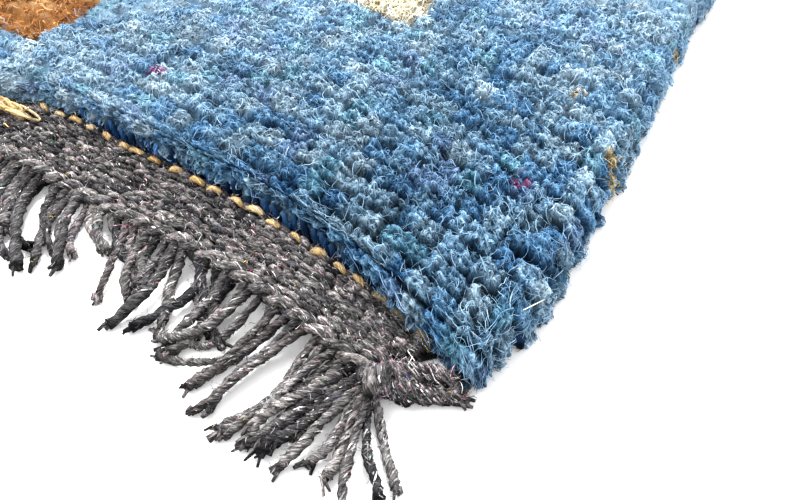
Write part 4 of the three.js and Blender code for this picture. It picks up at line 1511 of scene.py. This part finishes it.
def add_frays(heap, laid, tint, rng, each):
    """Short loose plies at the strands' cut ends."""
    count = len(laid) * each
    end = np.repeat(laid[:, -1], each, axis=0)
    along = np.repeat(unit(laid[:, -1] - laid[:, -3]), each, axis=0)
    start = end - along * rng.uniform(0.8, 2.0, (count, 1)) + rng.normal(0, 0.7, (count, 3))
    splay = rng.normal(0, 1.0, (count, 3)) * np.array([1, 1, 0.6])
    tips = start + along * rng.uniform(2.0, 4.2, (count, 1)) + splay
    t = np.array([0.0, 0.5, 1.0])[None, :, None]
    paths = start[:, None] * (1 - t) + tips[:, None] * t
    thick = rng.uniform(0.5, 1.0, (count, 1)) * np.array([[1.0, 1.0, 0.75]])
    paths[..., 2] = np.maximum(paths[..., 2], thick)
    tints = np.repeat(tint, each, axis=0) * rng.uniform(0.2, 0.8, (count, 1))
    add_tubes(heap, paths, thick, tints, 1.0, rng, sides=5, roughness=0.12)


# The cord's knotted tail as it lies, from the cord's end: X, Y, height of its middle and radius
TAIL_STATIONS = [
    (-3.0, 0.8, 4.0, 3.0),
    (0.6, -0.6, 5.8, 5.2),
    (3.6, -1.4, 6.6, 6.4),
    (6.8, -0.8, 4.8, 4.0),
    (8.6, 0.0, 4.0, 3.4),
    (11.6, 1.0, 4.8, 4.8),
    (14.8, 2.4, 4.0, 3.6),
    (18.6, 4.4, 3.9, 3.6),
    (22.0, 6.2, 3.0, 2.6),
    (25.6, 8.0, 2.8, 2.6),
    (28.6, 9.6, 2.4, 2.1),
]

# A fold of the cord, over the tail and against the pile's corner
FOLD_STATIONS = [
    (2.0, 4.4, 4.6, 2.4),
    (5.0, 5.2, 6.6, 3.2),
    (8.6, 6.4, 7.2, 3.4),
    (12.0, 7.8, 6.8, 2.8),
    (15.4, 9.2, 7.2, 3.8),
    (18.6, 10.2, 6.4, 3.4),
    (21.6, 12.2, 4.8, 2.6),
    (24.0, 13.6, 3.6, 1.8),
]


TAIL_PLIES = 3
TAIL_PLY_SHARE = 0.54
TAIL_TINT = np.array([0.8, 0.8, 0.82])
FOLD_TINT = np.array([1.1, 0.96, 1.0])


def add_tail(heap, found, tint_scale, rng, wraps):
    """Adds plies twisted round a line through the stations, and gives back their lines and colours."""
    stations = np.array(found, float)
    rings = 4 * len(stations)
    fine = np.linspace(0, len(stations) - 1, rings)
    place = np.arange(len(stations))
    x, y, height, radius = [np.interp(fine, place, stations[:, k]) for k in range(4)]
    start = laid_flat(TAIL_START, -CORD_MIDDLE)
    line = np.stack([start[0] + x, start[1] + y], axis=-1)
    ahead = unit(np.gradient(line, axis=0))
    across = np.stack([-ahead[:, 1], ahead[:, 0]], axis=-1)
    angle = fine * 1.5
    paths = []
    radii = []
    for ply in range(TAIL_PLIES):
        phase = angle + ply * 2 * np.pi / TAIL_PLIES
        xy = line + across * (TAIL_PLY_SHARE * radius * np.cos(phase))[:, None]
        xy = xy + rng.normal(0, 0.2, (rings, 2))
        z = height + TAIL_PLY_SHARE * radius * np.sin(phase)
        paths.append(np.concatenate([xy, z[:, None]], axis=1))
        radii.append(0.5 * radius * (1 + rng.normal(0, 0.08, rings)))
    paths = np.array(paths)
    radii = np.array(radii)
    paths[..., 2] = np.maximum(paths[..., 2], radii * 0.95)
    tint = picked(rng, GREYS, TAIL_PLIES, 0.1) * tint_scale
    # Painted shade, darker low down and on the plies' undersides
    painted_light = ease((paths[..., 2] + 1.0) / 6.0)
    turns = np.arange(rings) * 0.2
    add_tubes(heap, paths, radii, tint, painted_light, rng, sides=8, turns=turns, roughness=0.16, under=0.9)
    add_wrapped_fibres(heap, paths, radii, tint, painted_light, rng, each=wraps, rings=6, twist=0.35,
                       lift=0.35, widths=(0.2, 0.5), palette=MARL)
    add_fuzz(heap, paths.reshape(-1, 3), rng, count=4 * wraps, above=1.0, reach=3.2)
    return paths, tint


def add_fuzz(heap, points, rng, count, above, reach):
    """Short stray fibres that stand off the yarns, from this far above the points."""
    points = points + np.array([0, 0, above])
    start = points[rng.choice(len(points), count)] + rng.normal(0, 0.7, (count, 3))
    away = rng.normal(0, 1, (count, 3)) * np.array([1, 1, 0.4])
    away[:, 2] = np.abs(away[:, 2]) + 0.1
    bow = rng.normal(0, reach * 0.3, (count, 3))
    t = np.array([0.0, 0.35, 0.7, 1.0])[None, :, None]
    line = start[:, None] + unit(away)[:, None] * t * reach * rng.uniform(0.5, 1.4, (count, 1, 1))
    line = line + bow[:, None] * np.sin(np.pi * t)
    line[..., 2] = np.maximum(line[..., 2], 0.3)
    tint = picked(rng, MARL, count, 0.2) * 0.8
    facing = rng.normal(0, 1, (count, 1, 3))
    add_ribbons(heap, line, rng.uniform(0.1, 0.24, count), tint, rng, facing)


def make_fringe(name, side, count, seed):
    rng = np.random.default_rng(seed)
    heap = Heap()
    end_x = TAIL_START if side < 0 else FRINGE_HALF_WIDTH
    add_cord(heap, side, end_x, rng)
    laid, tint = add_strands(heap, side, count, end_x, rng)
    add_frays(heap, laid, tint, rng, each=5 if side < 0 else 2)
    if side < 0:
        add_tail(heap, FOLD_STATIONS, FOLD_TINT, rng, wraps=90)
        tail, tail_tint = add_tail(heap, TAIL_STATIONS, TAIL_TINT, rng, wraps=130)
        add_frays(heap, tail, tail_tint, rng, each=6)
    return heap.piece(name, FRINGE_WOOL, "fringe", [f"fringe_{end_of(side)}"])


# Camera, floor and light

FLOOR_REACH = 12.0
FLOOR_SINK = 0.2
FLOOR_WHITE = 0.93
FLOOR_GLOW = 0.15
SURROUND_STRENGTH = 1.5

# Lights, in metres: name, place, what it shines on, size and watts
LIGHTS = [
    ("window", (-1.35, 2.3, 3.0), (0.0, -0.1, 0), 1.4, 500),
    ("side_window", (-0.5, -0.9, 0.9), (0.1, -0.3, 0), 0.8, 12),
]


def aim(name, data, place, gaze):
    """Puts a camera or a light in the scene, turned so that it looks along gaze."""
    aimed = bpy.data.objects.new(name, data)
    bpy.context.scene.collection.objects.link(aimed)
    aimed.location = place
    aimed.rotation_mode = "QUATERNION"
    aimed.rotation_quaternion = gaze.to_track_quat("-Z", "Y")
    return aimed


def make_camera():
    data = bpy.data.cameras.new("camera")
    data.lens = FOCAL_LENGTH
    data.sensor_width = SENSOR_WIDTH
    data.clip_start = 0.01
    x = CORNER[0] + CAMERA_FROM_CORNER[0] + SHIFT_X
    y = CORNER[1] + CAMERA_FROM_CORNER[1] + SHIFT_Y
    level = math.cos(CAMERA_PITCH)
    gaze = Vector((CAMERA_HEADING[0] * level, CAMERA_HEADING[1] * level, -math.sin(CAMERA_PITCH)))
    bpy.context.scene.camera = aim("camera", data, Vector((x, y, CAMERA_HEIGHT)) * MM, gaze)


def area_light(name, place, target, size, watts):
    data = bpy.data.lights.new(name, "AREA")
    data.shape = "DISK"
    data.size = size
    data.energy = watts
    aim(name, data, place, Vector(target) - Vector(place))


def make_stage():
    mesh = bpy.data.meshes.new("floor")
    corners = [(-1, -1), (1, -1), (1, 1), (-1, 1)]
    points = [(x * FLOOR_REACH, y * FLOOR_REACH, 0) for x, y in corners]
    mesh.from_pydata(points, [], [(0, 1, 2, 3)])
    floor = bpy.data.objects.new("floor", mesh)
    floor.location.z = -FLOOR_SINK * MM
    bpy.context.scene.collection.objects.link(floor)
    paint = bpy.data.materials.new("floor_white")
    paint.use_nodes = True
    shader = paint.node_tree.nodes["Principled BSDF"]
    shader.inputs["Base Color"].default_value = (FLOOR_WHITE, FLOOR_WHITE, FLOOR_WHITE, 1)
    shader.inputs["Emission Color"].default_value = (1, 1, 1, 1)
    shader.inputs["Emission Strength"].default_value = FLOOR_GLOW
    shader.inputs["Roughness"].default_value = 0.9
    shader.inputs["Specular IOR Level"].default_value = 0.1
    mesh.materials.append(paint)
    world = bpy.data.worlds.new("studio")
    world.use_nodes = True
    background = world.node_tree.nodes["Background"]
    background.inputs["Color"].default_value = (1, 1, 1, 1)
    background.inputs["Strength"].default_value = SURROUND_STRENGTH
    bpy.context.scene.world = world
    for light in LIGHTS:
        area_light(*light)
    bpy.context.scene.view_settings.view_transform = "Standard"


make_camera()
make_stage()
ground = make_ground()
tufts = Tufts(np.random.default_rng(TUFTS_SEED))
pile = [*make_pile_body(tufts), *make_pile_fibres(tufts), make_stray_fibres(tufts)]
bands = [
    make_band("band_near", -1, seed=21),
    make_band("band_far", 1, seed=22),
]
twinings = [
    make_twining("twining_yarn_near", -1, wraps=16, seed=31),
    make_twining("twining_yarn_far", 1, wraps=3, seed=32),
]
knot_rows = [
    make_first_knots("first_knots_near", -1, wraps=8, seed=41),
    make_first_knots("first_knots_far", 1, wraps=0, seed=42),
]
side_wraps = [
    make_selvedge("wraps_left", -1, seed=51),
    make_selvedge("wraps_right", 1, seed=52),
]
fringes = [
    make_fringe("fringe_strands_near", -1, count=132, seed=61),
    make_fringe("fringe_strands_far", 1, count=140, seed=62),
]
